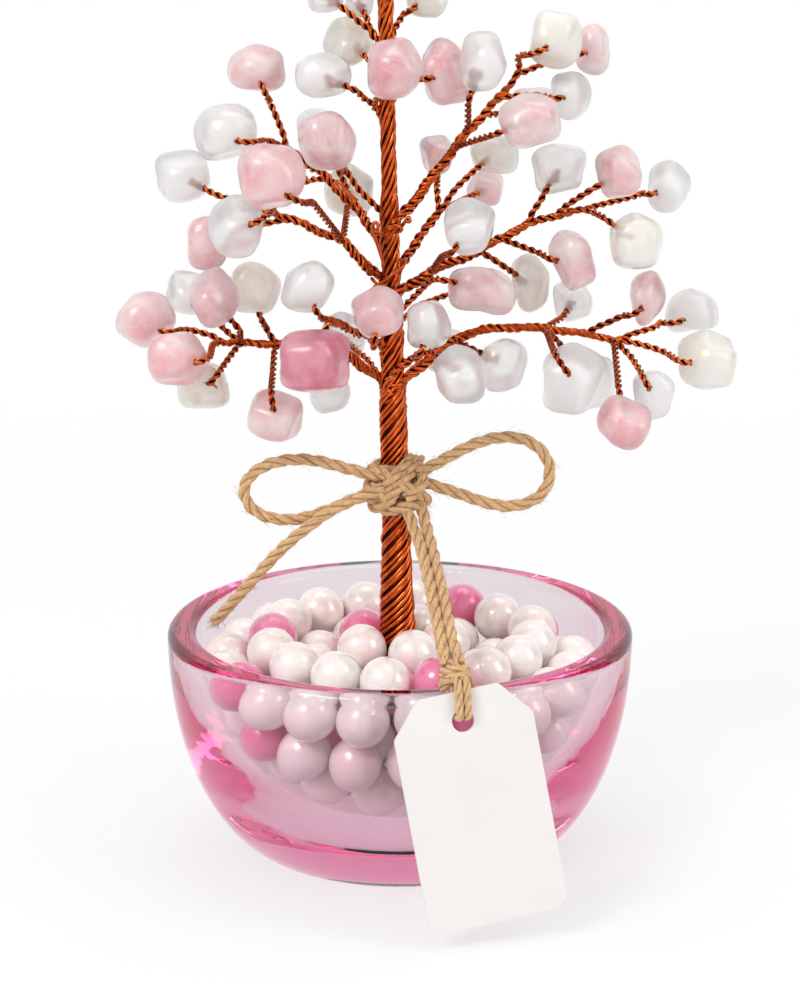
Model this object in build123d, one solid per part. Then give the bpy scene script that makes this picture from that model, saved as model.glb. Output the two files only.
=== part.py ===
from build123d import *
import math
import os

# Gemstone tree in a glass bowl: +Z up, origin at the centre of the bowl's flat foot,
# +X to the right and -Y towards the viewer. Lengths are in millimetres, angles in degrees.
MM = 1.0

# Bowl
rim_radius = 37.0 * MM
bowl_height = 36.5 * MM
foot_radius = 20.2 * MM
rim_wall = 4.6 * MM
base_glass = 7.5 * MM
inner_floor_radius = 13.0 * MM
rim_rounding = 1.5 * MM
outer_curve_shares = (2 / 1.79, 2 / 2.18)
inner_curve_shares = (2 / 1.9, 2 / 2.1)
wall_steps = 6

# Pearls
pearl_diameter = 8.0 * MM
pearl_gap = 0.12 * MM
pearl_rounds = 600
crest_height = 33.4 * MM
crest_dip = 3.3 * MM
layer_drop = 7.5 * MM

# Clear glue that holds the roots and the middle of the pile
core_foot_radius = 8.2 * MM
core_top_radius = 11.4 * MM
core_height = 17.6 * MM
core_gap = 0.3 * MM

# Trunk: wires laid round a core, fewer of them above each fork
tree_height = 147.5 * MM
strand_diameter = 1.0 * MM
strand_gap = 0.07 * MM
strand_end_gap = 0.38 * MM
trunk_pitch = 14.0 * MM
trunk_lean = 2.3 * MM
trunk_foot_shift = 0.2 * MM
foot_flare = 0.65 * MM
flare_length = 22.0 * MM
fork_height_shares = (0.505, 0.602, 0.715, 0.935)
strand_counts = (8, 7, 6, 5)
strand_scale_shares = (1.0, 0.97, 0.88, 0.76)
root_wire_count = 6
root_wire_diameter = 1.3 * MM
root_reach = 6.5 * MM
root_drop = 13.0 * MM

# Branches and stones
crown_depth = 26.0 * MM
stem_diameter = 2.3 * MM
stem_tip_diameter = 1.3 * MM
twig_diameter = 0.95 * MM
joint_gap = 0.06 * MM
stone_size = 11.0 * MM
stone_gap = 0.35 * MM
stone_depth_share = 0.82
stone_round_share = 0.21
stone_taper = 11.0
stone_rounds = 90
hole_clearance = 0.12 * MM
wire_standoff = 0.9 * MM
wire_seat_share = 0.15
front_entry_share = 0.5

# Twine and tag
twine_diameter = 1.8 * MM
knot_gap = 0.15 * MM
knot_height = 59.5 * MM
wrap_count = 3
wrap_spacing = 1.65 * MM
wrap_core_share = 0.6
cinch_radius = 2.3 * MM
cinch_shift = 0.9 * MM
cinch_lean = 12
cinch_core_share = 1.5
tag_width = 21.5 * MM
tag_length = 35.0 * MM
tag_thickness = 0.6 * MM
tag_hole_diameter = 3.4 * MM
tag_hole_drop = 4.4 * MM
tag_chamfer_across = 4.5 * MM
tag_chamfer_down = 5.2 * MM
tag_corner_radius = 2.5 * MM
tag_chamfer_softening = 0.8 * MM
tag_bearing = 13.5
tag_lean = 12.0
tag_tilt = 8.0
rim_knot_reach = 35.3 * MM
rim_knot_clearance = 0.3 * MM
loop_strand_diameter = 1.2 * MM
loop_spacing = 1.3 * MM
loop_bend = 1.05 * MM
tag_clear_of_rim = 2.0 * MM
tag_hang_drop = 3.1 * MM
loop_rise_in_hole = 0.75 * MM
loop_clearance = 0.3 * MM

# How a place in the front view is read: picture dots across and down, and how far back it stands.
# The viewing distance and height are shares of the tree's height.
view_middle_pixels = (400.0, 500.0)
lens_pixels = 3135.0
view_drop = 15.1
eye_back_share = 3.236
eye_up_share = 1.2577

# Outlines of tumbled stones, as shares of half the width and half the height.
stone_outline_shares = {
    "block": [(-0.92, -0.9), (0.9, -0.95), (0.98, 0.85), (-0.88, 0.95)],
    "wedge": [(-1.0, -0.75), (0.35, -1.0), (1.0, 0.1), (0.25, 1.0), (-0.8, 0.6)],
    "nugget": [(-0.75, -1.0), (0.7, -0.9), (1.0, 0.15), (0.4, 1.0), (-0.95, 0.75)],
    "tooth": [(-0.95, -0.85), (0.95, -1.0), (0.8, 0.5), (-0.05, 1.0), (-0.9, 0.35)],
    "slab": [(-0.8, -1.0), (0.85, -0.85), (1.0, 0.65), (-0.15, 1.0), (-1.0, 0.55)],
}

# Each limb: the run of its stem, then its stones. A stem point is (across, down, back share).
# A stone is: name, colour, (across, down, back share), (width share, height share), outline,
# turn, the stem point its twig leaves from, where the wire enters (across and up shares of the
# half stone) and whether that is on the front (-1) or the back (1).
limb_pixels = {
    "left_low": ([(391, 400, 0), (372, 376, 0), (350, 352, 0.08), (318, 342, 0.12), (275, 344, 0.02),
                  (240, 343, -0.05), (216, 342, -0.12)], [
        ("l1", "rose", (176, 351, -0.5), (0.98, 0.92), "nugget", 5, 6, (0.8, 0.2), -1),
        ("l2", "rose", (148, 319, -0.12), (1.0, 1.06), "wedge", 20, 5, (0.7, -0.4), 1),
        ("l3", "white", (189, 296, 0.3), (0.78, 0.74), "block", 10, 5, (0.3, -0.8), 1),
        ("l4", "rose", (211, 305, -0.3), (0.8, 0.94), "nugget", -10, 5, (0.4, 0.1), -1),
        ("l5", "cream", (252, 287, 0.1), (0.88, 0.88), "slab", 15, 4, (0.1, -0.7), -1),
        ("l6", "cream", (212, 388, -0.25), (0.94, 0.9), "tooth", -8, 5, (0.6, 0.6), -1),
        ("l7", "rose", (264, 413, -0.35), (0.94, 0.84), "block", 12, 4, (0.0, 0.3), -1),
        ("l8", "white", (330, 396, 0.25), (0.74, 0.6), "slab", 0, 2, (0.3, 0.7), 1)]),
    "left_front": ([(396, 348, -0.02), (372, 340, -0.22), (345, 327, -0.4), (330, 319, -0.5)], [
        ("f1", "white", (314, 291, -0.5), (0.95, 0.88), "wedge", 0, 3, (0.0, -0.6), -1),
        ("f2", "rose", (318, 356, -0.85), (1.16, 1.08), "block", 0, 2, (-0.1, 0.7), -1),
        ("f3", "rose", (371, 320, -0.65), (0.9, 0.82), "nugget", -15, 1, (0.0, -0.2), 1)]),
    "left_mid": ([(388, 303, 0), (366, 264, -0.03), (343, 241, -0.05), (310, 227, -0.08),
                  (287, 218, -0.15), (272, 213, -0.2)], [
        ("m1", "white", (240, 224, -0.35), (0.9, 1.0), "slab", 10, 5, (0.45, 0.5), -1),
        ("m2", "rose", (209, 233, -0.05), (0.76, 0.9), "nugget", 0, 4, (0.8, 0.0), 1),
        ("m3", "rose", (275, 173, -0.55), (1.1, 1.06), "slab", -5, 2, (0.6, 0.0), -1),
        ("m4", "white", (186, 182, 0.15), (0.94, 0.86), "block", -5, 4, (0.4, -0.3), -1),
        ("m5", "cream", (342, 182, 0.5), (0.94, 0.84), "tooth", 10, 2, (0.0, -0.5), -1)]),
    "left_high": ([(386, 230, 0), (374, 206, -0.02), (355, 184, -0.05), (340, 163, -0.08)], [
        ("h1", "rose", (321, 137, -0.3), (0.98, 0.96), "nugget", 0, 3, (0.15, -0.2), -1)]),
    "left_back": ([(387, 250, 0.06), (360, 212, 0.25), (325, 176, 0.28), (290, 151, 0.12),
                   (270, 141, 0.05)], [
        ("h2", "white", (236, 125, 0.0), (1.06, 0.92), "slab", -8, 4, (0.4, 0.0), -1),
        ("h3", "rose", (251, 77, 0.15), (1.04, 0.8), "tooth", 0, 3, (0.2, -0.3), -1),
        ("k1", "rose", (277, 182, 0.62), (0.84, 0.84), "block", 0, 2, (0.4, 0.0), -1),
        ("k2", "white", (322, 138, 0.65), (0.82, 0.84), "nugget", 0, 1, (0.2, -0.5), -1)]),
    "left_top": ([(385, 119, 0), (373, 105, -0.03), (360, 95, -0.08)], [
        ("t1", "white", (328, 83, -0.08), (0.92, 0.74), "slab", 0, 2, (0.45, 0.0), -1),
        ("t2", "rose", (393, 70, -0.5), (0.94, 1.0), "nugget", 0, 1, (-0.2, -0.5), 1)]),
    "left_crown": ([(385, 86, 0), (373, 66, 0.04)], [
        ("t3", "cream", (349, 46, 0.2), (0.88, 0.8), "wedge", 15, 1, (0.5, -0.3), -1)]),
    "left_tip": ([(384, 52, 0), (375, 37, 0.02), (367, 24, 0.05)], [
        ("t4", "white", (357, 8, 0.1), (0.46, 0.46), "block", 10, 2, (0.4, -0.3), -1),
        ("t5", "white", (334, -8, 0.05), (0.6, 0.56), "slab", 0, 1, (0.7, -0.4), -1)]),
    "right_low": ([(394, 402, 0), (411, 376, 0), (431, 355, 0), (455, 338, 0), (480, 330, 0),
                   (510, 327, 0), (545, 328, 0), (580, 333, 0), (614, 339, 0), (660, 349, 0)], [
        ("r1", "cream", (709, 362, -0.08), (0.98, 0.98), "slab", 0, 9, (-0.6, 0.1), -1),
        ("r2", "rose", (641, 312, 0.0), (0.6, 0.92), "nugget", 5, 7, (-0.8, -0.4), -1),
        ("r3", "white", (513, 366, -0.25), (0.82, 0.9), "slab", 0, 3, (-0.7, 0.3), -1),
        ("r4", "white", (574, 300, 0.45), (0.7, 0.7), "nugget", 0, 6, (-0.2, -0.5), -1),
        ("r5", "white", (587, 383, -0.45), (1.06, 1.16), "slab", 10, 6, (-0.2, 0.45), -1),
        ("r6", "rose", (617, 417, -0.65), (0.84, 0.76), "block", 20, 8, (-0.1, 0.3), -1),
        ("r7", "white", (656, 391, -0.25), (0.72, 0.82), "nugget", 0, 8, (-0.3, 0.75), -1),
        ("r8", "white", (690, 310, 0.3), (0.96, 0.8), "tooth", -10, 8, (-0.4, -0.3), -1),
        ("k3", "white", (590, 384, 0.35), (0.88, 0.9), "block", 0, 6, (-0.3, 0.7), -1)]),
    "right_front": ([(397, 372, -0.03), (412, 358, -0.12), (430, 349, -0.2)], [
        ("n1", "white", (457, 370, -0.55), (0.82, 0.9), "slab", -10, 2, (-0.5, 0.2), 1),
        ("n2", "white", (433, 330, -0.4), (0.78, 0.8), "nugget", 0, 1, (0.0, -0.5), 1)]),
    "right_mid": ([(391, 308, 0), (410, 285, -0.03), (432, 270, -0.05), (457, 261, -0.04),
                   (480, 250, 0), (500, 238, 0), (520, 228, 0), (548, 217, 0), (580, 210, 0),
                   (598, 213, -0.02)], [
        ("p1", "cream", (628, 234, -0.2), (0.9, 0.96), "slab", 0, 9, (-0.4, 0.35), -1),
        ("p2", "rose", (612, 185, -0.08), (0.78, 0.84), "nugget", 0, 7, (-0.7, -0.2), -1),
        ("p3", "white", (668, 189, 0.35), (0.8, 0.88), "wedge", 0, 8, (-0.7, 0.0), -1),
        ("p4", "white", (568, 167, 0.08), (0.9, 0.84), "slab", 0, 6, (-0.1, -0.3), -1),
        ("p5", "rose", (576, 257, -0.15), (0.66, 1.06), "slab", -18, 5, (-0.4, 0.0), -1),
        ("p6", "cream", (529, 287, 0.15), (0.66, 1.0), "nugget", -10, 4, (0.1, 0.1), -1),
        ("p7", "white", (469, 229, -0.45), (0.86, 0.86), "slab", 0, 2, (-0.6, -0.4), -1)]),
    "right_front_mid": ([(395, 325, -0.03), (415, 294, -0.15), (435, 277, -0.28)], [
        ("p8", "rose", (479, 288, -0.25), (1.14, 0.8), "slab", 18, 2, (-0.35, 0.2), -1)]),
    "right_high": ([(389, 276, 0.03), (405, 258, 0.06), (422, 235, 0.12), (438, 212, 0.18),
                    (458, 186, 0.24)], [
        ("q1", "cream", (494, 153, 0.5), (0.84, 0.7), "slab", 0, 4, (-0.35, -0.2), -1),
        ("q2", "rose", (487, 186, 0.66), (0.62, 0.62), "block", 10, 3, (-0.4, 0.0), -1),
        ("q3", "rose", (441, 156, 0.42), (0.6, 0.68), "nugget", 0, 3, (-0.1, -0.6), -1)]),
    "right_upper": ([(388, 229, 0), (405, 212, 0), (425, 187, 0), (442, 164, 0), (456, 146, 0),
                     (468, 131, 0), (483, 115, 0), (500, 97, 0), (515, 76, 0), (522, 64, 0.0)], [
        ("u1", "cream", (553, 38, -0.08), (0.86, 0.94), "block", 5, 9, (-0.7, 0.1), -1),
        ("u2", "rose", (527, 115, -0.4), (0.98, 0.9), "slab", -10, 4, (-0.55, -0.15), -1),
        ("u3", "white", (488, 68, -0.3), (0.78, 1.0), "nugget", 10, 5, (-0.5, -0.3), -1),
        ("u4", "white", (568, 96, 0.0), (0.72, 0.78), "nugget", 0, 7, (-0.7, 0.2), -1),
        ("u5", "rose", (593, 45, 0.3), (0.64, 0.9), "tooth", 0, 8, (-0.6, 0.0), -1),
        ("k4", "rose", (530, 112, 0.45), (0.78, 0.74), "block", 0, 6, (-0.6, -0.2), -1)]),
    "right_crown": ([(387, 94, 0.02), (403, 76, 0.1)], [
        ("t6", "rose", (441, 62, 0.08), (0.82, 1.2), "tooth", -15, 1, (-0.5, -0.2), -1)]),
    "right_tip": ([(385, 42, 0), (400, 25, 0.04)], [
        ("t7", "cream", (430, 9, 0.15), (0.72, 0.6), "slab", 10, 1, (-0.5, 0.2), -1)]),
    "crown_left": ([(385, 2, 0), (375, -14, 0.0)], [
        ("c1", "rose", (358, -42, -0.12), (0.9, 0.84), "nugget", 0, 1, (0.3, -0.5), -1)]),
    "crown_right": ([(386, 8, -0.02), (398, -10, -0.06)], [
        ("c2", "white", (419, -44, -0.2), (0.88, 0.9), "slab", 0, 1, (-0.3, -0.5), -1)]),
    "crown_back": ([(386, 14, 0.05), (388, -4, 0.2)], [
        ("c3", "cream", (390, -34, 0.5), (0.8, 0.8), "block", 0, 1, (0.0, -0.5), -1)]),
    "back_left": ([(392, 394, 0.05), (375, 368, 0.3), (360, 352, 0.45)], [
        ("k5", "white", (345, 338, 0.7), (0.8, 0.78), "slab", 0, 2, (0.3, -0.3), -1)]),
    "back_right": ([(394, 392, 0.05), (412, 370, 0.35), (425, 358, 0.5)], [
        ("k6", "rose", (445, 350, 0.75), (0.84, 0.76), "nugget", 0, 2, (-0.3, -0.2), -1)]),
    "back_mid": ([(391, 326, 0.05), (418, 306, 0.3), (445, 295, 0.45)], [
        ("k7", "rose", (482, 288, 0.66), (0.9, 0.7), "slab", 0, 2, (-0.5, 0.0), -1)]),
    "back_top": ([(387, 142, 0.05), (389, 112, 0.25), (391, 92, 0.36)], [
        ("k8", "white", (393, 70, 0.6), (0.8, 0.82), "nugget", 0, 2, (0.0, -0.4), -1)]),
}

# Twine routes, point by point along their middle lines.
left_loop_route = [(-2.5, -4.6, 61.6), (-8.5, -6, 63.5), (-13.5, -6.5, 65), (-18, -6.5, 65),
                   (-22, -6, 63.6), (-24.6, -5.5, 60.6), (-23.8, -5, 57), (-20.5, -4.5, 54.9),
                   (-16, -4, 54.5), (-11, -4, 56.2), (-3.2, -4.1, 59.6)]
right_loop_route = [(3, -4.6, 62.4), (7.5, -6, 65.3), (11.5, -6.5, 67.6), (16, -7, 68.9),
                    (20.2, -7, 68.2), (23, -6.5, 65.3), (23.4, -6, 61.6), (21.8, -5.5, 58.6),
                    (18.3, -5, 57), (14, -4.5, 57.2), (9.5, -4.5, 58.9), (3.6, -4.2, 60.8)]
left_tail_route = [(-2.6, -6.4, 60.4), (-8.5, -7.3, 58.6), (-13.5, -7, 55), (-18.5, -5.5, 50.5),
                   (-22.5, -4, 45.6), (-26.4, -2, 40.6), (-29.6, 0, 36.6)]
left_string_route = [(1, -5.6, 57.2), (2.4, -11, 53.6), (3.8, -17, 49.4), (5, -24, 45),
                     (6.1, -29.5, 41.7), (6.9, -32.7, 39.9)]
right_string_route = [(3.2, -5, 57.6), (5.1, -10, 52.8), (6.5, -16, 48.6), (7.5, -23, 44.6),
                      (8.3, -29, 41.8), (9.02, -32.4, 39.9)]

os.makedirs("parts", exist_ok=True)


def seen(across_pixel, down_pixel, back_share):
    """The point that shows at a dot of the front view and stands that far back."""
    back = back_share * crown_depth
    right = (across_pixel - view_middle_pixels[0]) / lens_pixels
    down = (down_pixel - view_middle_pixels[1]) / lens_pixels
    drop = math.radians(view_drop)
    ahead = math.cos(drop) - down * math.sin(drop)
    rise = -math.sin(drop) - down * math.cos(drop)
    reach = (eye_back_share * tree_height + back) / ahead
    return (reach * right, back, eye_up_share * tree_height + reach * rise)


def add(a, b, scale=1):
    return tuple(p + scale * q for p, q in zip(a, b))


def dot(a, b):
    return sum(p * q for p, q in zip(a, b))


def size_of(a):
    return math.sqrt(dot(a, a))


def unit(a):
    size = size_of(a) or 1
    return tuple(p / size for p in a)


def nearest_on_run(point, start, end):
    """The point of a straight run that is nearest to another point."""
    run = add(end, start, -1)
    along = dot(add(point, start, -1), run) / dot(run, run)
    return add(start, run, min(1, max(0, along)))


def save(name, pieces):
    export_step(Compound(list(pieces)), f"parts/{name}.step")


def curve_point(turn, floor_radius, wide, low, shares):
    """A point of the bowl's wall: turn is 0 at the rim and 90 at the floor."""
    angle = math.radians(turn)
    return (
        floor_radius + (wide - floor_radius) * abs(math.cos(angle)) ** shares[0],
        bowl_height - (bowl_height - low) * math.sin(angle) ** shares[1],
    )


def outer_point(turn):
    return curve_point(turn, foot_radius, rim_radius, 0, outer_curve_shares)


def inner_point(turn):
    return curve_point(turn, inner_floor_radius, rim_radius - rim_wall, base_glass,
                       inner_curve_shares)


def bowl():
    """A thick round bowl, turned from its section."""
    turns = [90 * step / wall_steps for step in range(wall_steps + 1)]
    outside = [outer_point(turn) for turn in turns]
    inside = [inner_point(turn) for turn in turns]
    edges = [
        Line((0, 0), outside[-1]),
        Spline(*reversed(outside)),
        Line(outside[0], inside[0]),
        Spline(*inside),
        Line(inside[-1], (0, base_glass)),
        Line((0, base_glass), (0, 0)),
    ]
    body = revolve(Plane.XZ * make_face(edges), axis=Axis.Z)
    circles = body.edges().filter_by(GeomType.CIRCLE)
    return fillet(circles.group_by(Axis.Z)[-1], rim_rounding)


def wall_seats():
    """Where a pearl's centre may lie against the inner wall, from the floor up: (out, up)."""
    clear = pearl_diameter / 2 + pearl_gap
    seats = []
    for step in range(1, 90):
        here = inner_point(step)
        there = inner_point(step + 1)
        run = unit((there[0] - here[0], there[1] - here[1]))
        seats.append((here[0] + run[1] * clear, here[1] - run[0] * clear))
    return [seat for seat in reversed(seats) if seat[0] > 0]


def wall_reach(height, seats):
    """How far out a pearl's centre may lie at this height."""
    for low, high in zip(seats, seats[1:]):
        if low[1] <= height <= high[1]:
            share = (height - low[1]) / (high[1] - low[1])
            return low[0] + share * (high[0] - low[0])
    return seats[-1][0] if height > seats[-1][1] else seats[0][0]


def pearl_places():
    """Rings of pearls that are pushed apart until none overlaps, the wall and the core."""
    pitch = pearl_diameter + pearl_gap
    seats = wall_seats()
    floor = base_glass + pitch / 2
    trunk_clear = trunk_foot_radius() + pitch / 2 + core_gap
    crest_wall = wall_reach(crest_height - crest_dip, seats)
    rings = []
    for step in range(4):
        share = step / 3
        reach = trunk_clear + share * (crest_wall - trunk_clear)
        rings.append((reach, crest_height - crest_dip * (step % 2)))
    for layer in (1, 2):
        height = crest_height - crest_dip - layer * layer_drop
        rings.append((wall_reach(height, seats), height))
    rings.append((wall_reach(rings[-2][1], seats) - pitch, rings[-2][1]))
    rings.append((core_foot_radius + pitch / 2 + core_gap, floor))
    places = []
    for number, (reach, height) in enumerate(rings):
        count = int(2 * math.pi * reach / pitch)
        for step in range(count):
            angle = 2 * math.pi * (step + number * 0.37) / count
            places.append((reach * math.cos(angle), reach * math.sin(angle), height))
    for _ in range(pearl_rounds):
        moved = [list(place) for place in places]
        for i, a in enumerate(places):
            for j in range(i):
                b = places[j]
                if abs(a[2] - b[2]) > pitch or abs(a[0] - b[0]) > pitch:
                    continue
                away = add(a, b, -1)
                gap = size_of(away)
                if gap < pitch:
                    push = (pitch * 1.002 - gap) / gap / 2
                    for axis in range(3):
                        moved[i][axis] += push * away[axis]
                        moved[j][axis] -= push * away[axis]
        places = [keep_in_bowl(place, seats, floor, trunk_clear) for place in moved]
    return places


def keep_in_bowl(place, seats, floor, trunk_clear):
    """A pearl's place, moved off the floor, the wall, the trunk and the core."""
    x, y, z = place
    z = min(max(z, floor), crest_height)
    reach = math.hypot(x, y) or 1
    clear = pearl_diameter / 2 + core_gap
    core_top = base_glass + core_height
    least = trunk_clear
    if z < core_top + clear:
        share = min(1, (z - base_glass) / core_height)
        least = core_foot_radius + share * (core_top_radius - core_foot_radius) + clear
        if z > core_top and reach < least:
            lift = core_top + clear - z
            least = min(least, reach + lift)
    wanted = min(max(reach, least), wall_reach(z, seats))
    return (x * wanted / reach, y * wanted / reach, z)


def ring_radius(count, strand):
    """Radius of the ring on which strands of this diameter lie side by side along a helix."""
    radius = count * (strand + strand_gap) / (2 * math.pi)
    for _ in range(20):
        slope = math.atan2(2 * math.pi * radius, trunk_pitch)
        radius = (strand + strand_gap) / (2 * math.sin(math.pi / count) * math.cos(slope))
    return radius


def trunk_radius(level):
    strand = strand_diameter * strand_scale_shares[level]
    return ring_radius(strand_counts[level], strand) + strand / 2


def trunk_foot_radius():
    return trunk_radius(0) + foot_flare


def trunk_foot():
    return base_glass + core_height + core_gap


def trunk_point(height):
    """A point of the trunk's middle line."""
    share = (height - trunk_foot()) / (tree_height * fork_height_shares[-1] - trunk_foot())
    return (-trunk_foot_shift - (trunk_lean - trunk_foot_shift) * share, 0, height)


def trunk_axis():
    return unit(add(trunk_point(tree_height), trunk_point(0), -1))


def helix_strands(low, high, ring, strand, count, flare):
    """Wires laid side by side round the trunk's middle line between two heights."""
    rise = (high - low) / trunk_axis()[2]
    cone = math.degrees(math.atan2(flare, rise))
    frame = Plane(origin=trunk_point(low), z_dir=trunk_axis())
    path = Helix(pitch=trunk_pitch, height=rise, radius=ring + flare, cone_angle=-cone)
    wire = sweep(Plane(origin=path @ 0, z_dir=path % 0) * Circle(strand / 2), path=path)
    for step in range(count):
        yield frame * Rot(0, 0, 360 * step / count) * wire


def trunk():
    """Four lengths of trunk, each a core with wires laid round it."""
    names = ("trunk_lower", "trunk_middle", "trunk_upper", "trunk_top")
    low = trunk_foot()
    for level, name in enumerate(names):
        high = tree_height * fork_height_shares[level] - strand_end_gap
        strand = strand_diameter * strand_scale_shares[level]
        ring = ring_radius(strand_counts[level], strand)
        pieces = []
        start = low
        if level == 0:
            start = low + flare_length
            pieces += helix_strands(low + strand_end_gap, start - strand_end_gap, ring, strand,
                                    strand_counts[0], foot_flare)
        pieces += helix_strands(start + strand_end_gap, high - strand_end_gap, ring, strand,
                                strand_counts[level], 0)
        core = ring - strand / 2 - strand_gap
        frame = Plane(origin=trunk_point(low), z_dir=trunk_axis())
        rise = (high - low) / trunk_axis()[2]
        pieces.append(frame * Cylinder(core, rise, align=(Align.CENTER, Align.CENTER, Align.MIN)))
        save(name, pieces)
        low = high + strand_gap


def roots():
    """The wire ends below the trunk, splayed out in the glue."""
    top = trunk_foot() - core_gap
    ring = trunk_radius(0) - root_wire_diameter / 2
    wires = []
    for step in range(root_wire_count):
        angle = 2 * math.pi * step / root_wire_count
        out = (math.cos(angle), math.sin(angle), 0)
        start = add((0, 0, top), out, ring)
        knee = add((0, 0, top - root_drop / 2), out, ring)
        end = add((0, 0, top - root_drop), out, root_reach)
        wires.append(wire_run([start, knee, end], [root_wire_diameter] * 3))
    return wires


def glue_core(wires):
    """Clear glue cast round the splayed wires."""
    block = Pos(0, 0, base_glass) * Cone(core_foot_radius, core_top_radius, core_height,
                                         align=(Align.CENTER, Align.CENTER, Align.MIN))
    return block - wires


def wire_run(points, diameters):
    """A bent wire that may taper: rings square to the route, joined by straight walls."""
    rings = []
    for number, point in enumerate(points):
        before = unit(add(point, points[number - 1], -1)) if number else None
        after = unit(add(points[number + 1], point, -1)) if number + 1 < len(points) else None
        ahead = unit(add(before or after, after or before))
        rings.append(Plane(origin=point, x_dir=side_of(ahead), z_dir=ahead)
                     * Circle(diameters[number] / 2))
    return loft(rings, ruled=True)


def side_of(ahead):
    """A direction square to a wire, turned the same way along its whole route."""
    level = (0, 1, 0) if abs(ahead[1]) < 0.8 else (1, 0, 0)
    return unit(add(level, ahead, -dot(level, ahead)))


class Stone:
    """A tumbled stone: its outline, place, turn and the hole that its wire enters."""

    def __init__(self, number, row, stem):
        self.name, self.colour, place, shares, outline, turn, self.joint, self.entry, side = row
        self.place = seen(*place)
        self.width = shares[0] * stone_size
        self.height = shares[1] * stone_size
        self.depth = stone_depth_share * (self.width + self.height) / 2
        self.rounding = stone_round_share * min(self.width, self.height, self.depth)
        self.outline = stone_outline_shares[outline]
        self.stem = stem
        self.side = side
        self.turns = (turn, 14 * (number % 4 - 1.5), 11 * (number % 3 - 1))
        self.corners = self.inner_corners()

    def turned(self, point):
        """A point of the upright stone after its turns about Y, X and Z."""
        x, y, z = point
        a, b, c = (math.radians(turn) for turn in self.turns)
        x, z = x * math.cos(a) + z * math.sin(a), z * math.cos(a) - x * math.sin(a)
        y, z = y * math.cos(b) - z * math.sin(b), y * math.sin(b) + z * math.cos(b)
        x, y = x * math.cos(c) - y * math.sin(c), x * math.sin(c) + y * math.cos(c)
        return (x, y, z)

    def inner_corners(self):
        """The stone's corners, drawn in by its rounding."""
        half = (self.width / 2 - self.rounding, self.depth / 2 - self.rounding,
                self.height / 2 - self.rounding)
        taper = math.tan(math.radians(stone_taper)) * self.depth
        points = []
        for u, v in self.outline:
            points.append(self.turned((half[0] * u, -half[1], half[2] * v)))
            inward = 1 - taper / max(self.width, self.height)
            points.append(self.turned((half[0] * u * inward, half[1], half[2] * v * inward)))
        return points

    def reach(self, way):
        """How far the stone reaches from its centre in a direction."""
        return max(dot(corner, way) for corner in self.corners) + self.rounding

    def wire_points(self):
        """The twig's route: its start on the stem, the point off the stone and its end inside."""
        start = self.stem.points[self.joint]
        across, up = self.entry
        way = unit(add(start, self.place, -1))
        if self.side < 0:
            off = max(0.15, 1 - across ** 2 - up ** 2) ** 0.5
            front = unit((across * self.width, -off * self.depth, up * self.height))
            way = unit(add(way, front, front_entry_share))
        outside = add(self.place, way, self.reach(way) + wire_standoff)
        inside = add(self.place, way, self.reach(way) * wire_seat_share)
        return [start, outside, inside]

    def solid(self):
        """The rounded stone with a hole for its wire."""
        sketch = Polygon(*[(u * self.width / 2, v * self.height / 2) for u, v in self.outline],
                         align=None)
        body = extrude(Plane.XZ * sketch, self.depth, taper=stone_taper)
        body = Pos(0, self.depth / 2, 0) * body
        body = fillet(body.edges(), self.rounding)
        body = Rot(0, 0, self.turns[2]) * Rot(self.turns[1], 0, 0) * Rot(0, self.turns[0], 0) * body
        body = Pos(*self.place) * body
        start, outside, inside = self.wire_points()
        run = add(outside, inside, -1)
        bore = Plane(origin=inside, z_dir=run) * Cylinder(
            twig_diameter / 2 + hole_clearance, size_of(run) + stone_size,
            align=(Align.CENTER, Align.CENTER, Align.MIN))
        return body - bore

    def twig(self):
        """The twisted wire that carries the stone, clear of its stem and inside its hole."""
        start, outside, inside = self.wire_points()
        way = unit(add(outside, start, -1))
        number = self.joint
        last = number + 1 == len(self.stem.points)
        ahead = unit(add(self.stem.points[number + (0 if last else 1)],
                         self.stem.points[number - (1 if last or number else 0)], -1))
        if number == 0:
            ahead = unit(add(self.stem.points[1], self.stem.points[0], -1))
        along = dot(way, ahead)
        slope = math.sqrt(max(0.05, 1 - along ** 2))
        side = (self.stem.diameter(number) / 2 + twig_diameter / 2 * abs(along)) / slope
        end = twig_diameter / 2 * slope / max(along, 0.05) if last else side
        start = add(start, way, min(side, end) + joint_gap)
        return wire_run([start, outside, inside], [twig_diameter] * 3)


class Stem:
    """A limb's main run of twisted wires, thick at the trunk and thin at its tip."""

    def __init__(self, name, pixels):
        self.name = name
        self.points = [seen(*pixel) for pixel in pixels]
        level = 0
        while self.points[0][2] > tree_height * fork_height_shares[level] and level < 3:
            level += 1
        base = trunk_point(self.points[0][2])
        way = unit(add(self.points[1], base, -1))
        slope = math.sqrt(max(0.05, 1 - dot(way, trunk_axis()) ** 2))
        radius = self.diameter(0) / 2
        gap = (trunk_radius(level) + joint_gap + radius * dot(way, trunk_axis())) / slope
        self.points[0] = add(base, way, gap)

    def diameter(self, number):
        share = number / max(1, len(self.points) - 1)
        full = stem_tip_diameter + (stem_diameter - stem_tip_diameter) * min(1, len(self.points) / 6)
        return full + share * (stem_tip_diameter - full)

    def solid(self):
        return wire_run(self.points, [self.diameter(step) for step in range(len(self.points))])


def part_gap(stone, other):
    """How much two stones overlap along the line of their centres, and that line."""
    way = unit(add(other.place, stone.place, -1))
    span = size_of(add(other.place, stone.place, -1))
    against = tuple(-p for p in way)
    return stone.reach(way) + other.reach(against) + stone_gap - span, way


def wire_gap(stone, start, end, radius):
    """How much a stone overlaps a straight wire, and the way from the wire to the stone."""
    near = nearest_on_run(stone.place, start, end)
    span = size_of(add(near, stone.place, -1))
    way = unit(add(near, stone.place, -1))
    return stone.reach(way) + radius + stone_gap - span, tuple(-p for p in way)


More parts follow.
